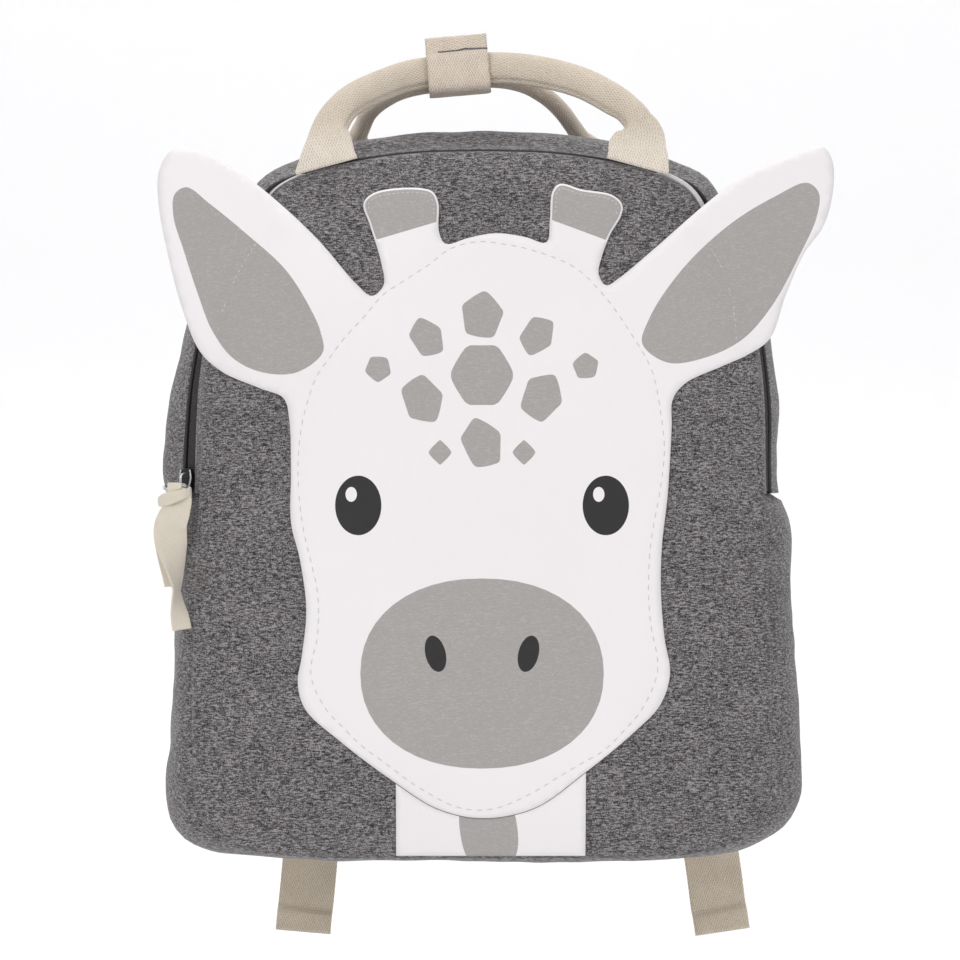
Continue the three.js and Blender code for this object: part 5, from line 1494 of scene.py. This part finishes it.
ABOVE_END = (SLIDER_LONG / 2 + 2 * GAP) / (seam_line(LEFT_ZIP_END - 1)[1] - ZIP_END)
SLIDER_PLACE = np.full(3, LEFT_ZIP_END - ABOVE_END)
_seats = gusset(SLIDER_PLACE, np.array([FLAP, FLAP + ZIP_GAP / 2, FLAP + ZIP_GAP]))
SLIDER_ACROSS = unit((_seats[0] - _seats[2]) * (1, 1, 0))
SLIDER_OUT = np.cross(SLIDER_ACROSS, UPWARD)
SLIDER_BASE = _seats[1] + SLIDER_OUT * 1.5 * GAP
RING_FRONT = np.array([0, -math.cos(math.radians(RING_TILT)), -math.sin(math.radians(RING_TILT))])
RING_CENTRE = (
    SLIDER_BASE
    + SLIDER_OUT * (SLIDER_HIGH + BAIL_HIGH - BAIL_WIRE - 1.6 * GAP - RING_WIRE / 2)
    + UPWARD * (BAIL_WIRE + 1.5 * GAP + RING_WIRE / 2 - SLIDER_LONG * 0.375)
    + np.array([SLIDER_OUT[0] * RING_RADIUS, 0, 0])
    - RING_FRONT * SLIDER_OUT[1] * RING_RADIUS
)


class RUCKSACK_OT_pull(bpy.types.Operator):
    """Makes the zip's slider, ring and cotton pull tape"""

    bl_idname = "rucksack.pull"
    bl_label = "Zip pull"

    def execute(self, context):
        self.slider()
        self.ring()
        self.tape()
        return {"FINISHED"}

    def slider(self):
        bpy.ops.object.select_all(action="DESELECT")
        bpy.ops.mesh.primitive_cube_add(size=1, location=(0, 0, 0))
        made = bpy.context.object
        made.name = "slider_body"
        made.scale = (SLIDER_HIGH * MM, SLIDER_WIDE * MM, SLIDER_LONG * MM)
        bpy.ops.object.transform_apply(location=True, rotation=True, scale=True)
        bpy.ops.object.mode_set(mode="EDIT")
        bpy.ops.mesh.select_all(action="SELECT")
        bpy.ops.mesh.bisect(plane_co=(0, 0, SLIDER_LONG * 0.1 * MM), plane_no=(0, 0, 1))
        bpy.ops.object.mode_set(mode="OBJECT")
        for vertex in made.data.vertices:
            rise = vertex.co.z / (SLIDER_LONG / 2 * MM)
            vertex.co.y *= 0.65 if rise < -0.5 else 0.8 if rise > 0.5 else 1.0
        bevel = made.modifiers.new("soft_edges", "BEVEL")
        bevel.width = 0.5 * MM
        bevel.segments = 3
        bpy.ops.object.modifier_apply(modifier=bevel.name)
        made.location = tuple((SLIDER_BASE + SLIDER_OUT * SLIDER_HIGH / 2 + ORIGIN) * MM)
        made.rotation_euler = (0, 0, math.atan2(SLIDER_OUT[1], SLIDER_OUT[0]))
        bpy.ops.object.transform_apply(location=True, rotation=True, scale=True)
        # The body's dark colour is a painted reflection of dark surroundings in its chrome
        made.data.materials.append(finish("steel_painted_dark"))
        bpy.ops.object.shade_smooth_by_angle(angle=math.radians(50))
        made.select_set(False)
        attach(made, "root")
        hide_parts("zip_slider")
        long = SLIDER_LONG / 2
        arch = [(-0.8, -0.69), (BAIL_HIGH * 0.7, -0.68), (BAIL_HIGH - 0.55, -0.5), (BAIL_HIGH - 0.55, 0.3)]
        arch += [(BAIL_HIGH * 0.6, 0.5), (-0.8, 0.65)]
        face = SLIDER_BASE + SLIDER_OUT * SLIDER_HIGH
        self.wire(
            "slider_bail", [face + SLIDER_OUT * off + UPWARD * long * rise for off, rise in arch], BAIL_WIRE
        )
        for name, side in (("front", 1), ("rear", -1)):
            edge = [(0.5, -0.95), (0.72, -0.4), (1.0, 0.2), (0.86, 0.92)]
            line = [
                face + SLIDER_ACROSS * side * (SLIDER_WIDE / 2 * wide - 0.3)
                + UPWARD * long * rise - SLIDER_OUT * 0.2
                for wide, rise in edge
            ]
            self.wire(f"slider_rim_{name}", line, 0.9)

    def wire(self, name, line, thick):
        rows = [(place, thick, thick, 0.2) for place in line]
        facing = np.tile(SLIDER_ACROSS, (len(rows), 1))
        points, faces, run = tube(band(rows, 0.4, 12, facing))
        made = piece(name, points, faces, [finish("steel")], run=run, stands_for=["zip_slider"])

    def ring(self):
        bpy.ops.object.select_all(action="DESELECT")
        left = np.array([-1.0, 0, 0])
        axis = np.cross(left, RING_FRONT)
        turn = Matrix((left, RING_FRONT, axis)).transposed().to_euler()
        centre = (RING_CENTRE + ORIGIN) * MM
        bpy.ops.mesh.primitive_torus_add(
            major_segments=64, minor_segments=16,
            major_radius=RING_RADIUS * MM, minor_radius=RING_WIRE / 2 * MM,
            location=tuple(centre), rotation=tuple(turn),
        )
        made = bpy.context.object
        made.name = "pull_ring_wire"
        bpy.ops.object.transform_apply(location=True, rotation=True, scale=True)
        made.data.materials.clear()
        made.data.materials.append(finish("steel"))
        bpy.ops.object.shade_smooth()
        made.select_set(False)
        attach(made, "root")
        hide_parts("pull_ring")

    def tape(self):
        gathered = 2 * (RING_RADIUS - RING_WIRE) - 1
        sag = RING_RADIUS - math.sqrt(RING_RADIUS**2 - (gathered / 2) ** 2)
        wire = RING_CENTRE + RING_FRONT * (RING_RADIUS - sag / 2)
        bend = RING_WIRE / 2 + sag / 2 + 4 * GAP + TAPE_THICK / 2

        def tail(rows, length):
            return [
                ((wire[0] + row[1] * TAPE_WIDE, wire[1] + row[3] * TAPE_WIDE, wire[2] - row[0] * length),
                 TAPE_WIDE * row[2], TAPE_THICK, 0.8)
                for row in rows
            ]

        over, facing = half_turn(wire, bend, 1, gathered, TAPE_THICK)
        rear, front = tail(TAPE_REAR, TAPE_SHORT), tail(TAPE_FRONT, TAPE_LONG)
        turns = np.radians([row[4] for row in TAPE_FRONT])
        facing = [BACKWARD] * len(rear) + facing[::-1] + [(math.sin(t), -math.cos(t), 0) for t in turns]
        points, faces, run = tube(band(rear + over[::-1] + front, 0.8, 24, facing))
        made = piece("pull_tape_cotton", points, faces, [finish("tape")], run=run, stands_for=["pull_tape"])
        self.knot(wire)

    def knot(self, wire):
        """The tape's own loop, drawn tight round it just below the ring."""
        turns = np.radians(np.linspace(-200, 20, 15))
        rows, facing = [], []
        for turn in turns:
            way = np.array([math.cos(turn), math.sin(turn) * 0.55, 0.0])
            rise = 2.0 * math.cos(turn) - 3.0
            rows.append((wire + way * 6.9 + (0, -0.4, rise), 5.2 + 0.8 * math.sin(turn * 2.3), 1.7, 0.35))
            facing.append(unit(way * (1, 1 / 0.55, 0)))
        points, faces, run = tube(band(rows, 0.7, 28, facing))
        made = piece("pull_tape_knot", points, faces, [finish("tape")], run=run, stands_for=["pull_tape"])


class RUCKSACK_OT_stage(bpy.types.Operator):
    """Sets the pale floor and backdrop, the soft lights and the camera"""

    bl_idname = "rucksack.stage"
    bl_label = "Stage"

    def execute(self, context):
        self.cove()
        self.lights()
        self.camera()
        return {"FINISHED"}

    def cove(self):
        line = [(-3.2, FLOOR), (COVE_START, FLOOR)]
        line += [
            (COVE_START + COVE_RADIUS * math.sin(t), FLOOR + COVE_RADIUS * (1 - math.cos(t)))
            for t in np.linspace(0.1, math.pi / 2, 14)
        ]
        line += [(COVE_START + COVE_RADIUS, 3.0)]
        points = [(x, y, z) for y, z in line for x in (-4.0, 4.0)]
        faces = [(2 * i, 2 * i + 1, 2 * i + 3, 2 * i + 2) for i in range(len(line) - 1)]
        mesh = bpy.data.meshes.new("pale_cove")
        mesh.from_pydata(points, [], faces)
        for polygon in mesh.polygons:
            polygon.use_smooth = True
        paper = Finish("pale_paper", light(246, 246, 247), 0.9)
        paper.relief(paper.grain(6.0), 0.2, 0.1)
        mesh.materials.append(paper.material)
        cove = bpy.data.objects.new("pale_cove", mesh)
        bpy.context.scene.collection.objects.link(cove)

    def lights(self):
        world = bpy.data.worlds.new("soft_white")
        world.use_nodes = True
        world.node_tree.nodes["Background"].inputs[0].default_value = (1, 1, 1, 1)
        world.node_tree.nodes["Background"].inputs[1].default_value = 0.5
        bpy.context.scene.world = world
        bpy.context.scene.view_settings.view_transform = "Standard"
        places = [
            ("key", (-1.0, -1.9, 1.2), 1.3, 20.0), ("fill", (1.5, -1.6, 0.3), 1.6, 8.5),
            ("top", (0.0, -0.5, 1.9), 1.6, 3.0), ("backdrop", (0.0, 0.78, 1.9), 1.6, 30.0),
        ]
        for name, spot, size, power in places:
            lamp = bpy.data.lights.new(name, "AREA")
            lamp.size = size
            lamp.energy = power
            made = bpy.data.objects.new(name, lamp)
            made.location = spot
            target = Vector((0, 1.2, -0.3)) if name == "backdrop" else Vector((0, 0, -0.18))
            made.rotation_euler = (target - Vector(spot)).to_track_quat("-Z", "Y").to_euler()
            bpy.context.scene.collection.objects.link(made)

    def camera(self):
        eye = bpy.data.cameras.new("front_view")
        eye.sensor_width = 36
        eye.sensor_fit = "HORIZONTAL"
        eye.angle = 2 * math.atan(HALF_VIEW / CAMERA_AWAY)
        made = bpy.data.objects.new("front_view", eye)
        made.location = tuple((np.array([CAMERA_X, -CAMERA_AWAY, CAMERA_HIGH]) + ORIGIN) * MM)
        made.rotation_euler = (math.pi / 2, 0, 0)
        bpy.context.scene.collection.objects.link(made)
        bpy.context.scene.camera = made


class RUCKSACK_PT_pieces(bpy.types.Panel):
    """Lists the rucksack's pieces"""

    bl_label = "Rucksack"
    bl_idname = "RUCKSACK_PT_pieces"
    bl_space_type = "VIEW_3D"
    bl_region_type = "UI"
    bl_category = "Rucksack"

    def draw(self, context):
        for operator in OPERATORS:
            self.layout.operator(operator.bl_idname)
        for group in (context.scene.rucksack_sizes, context.scene.rucksack_colours):
            for name in group.__annotations__:
                self.layout.prop(group, name)


OPERATORS = (
    RUCKSACK_OT_body, RUCKSACK_OT_back, RUCKSACK_OT_zip, RUCKSACK_OT_head, RUCKSACK_OT_stitching,
    RUCKSACK_OT_handles, RUCKSACK_OT_wrap, RUCKSACK_OT_straps, RUCKSACK_OT_locks, RUCKSACK_OT_webbing,
    RUCKSACK_OT_pull, RUCKSACK_OT_stage,
)
CLASSES = (RucksackColours, RucksackSizes, *OPERATORS, RUCKSACK_PT_pieces)


def register():
    for cls in CLASSES:
        bpy.utils.register_class(cls)
    bpy.types.Scene.rucksack_colours = bpy.props.PointerProperty(type=RucksackColours)
    bpy.types.Scene.rucksack_sizes = bpy.props.PointerProperty(type=RucksackSizes)


def unregister():
    del bpy.types.Scene.rucksack_sizes
    del bpy.types.Scene.rucksack_colours
    for cls in reversed(CLASSES):
        bpy.utils.unregister_class(cls)


def main():
    register()
    bpy.ops.rucksack.body()
    bpy.ops.rucksack.back()
    bpy.ops.rucksack.zip()
    bpy.ops.rucksack.head()
    bpy.ops.rucksack.stitching()
    bpy.ops.rucksack.handles()
    bpy.ops.rucksack.wrap()
    bpy.ops.rucksack.straps()
    bpy.ops.rucksack.locks()
    bpy.ops.rucksack.webbing()
    bpy.ops.rucksack.pull()
    bpy.ops.rucksack.stage()


if __name__ == "__main__":
    main()
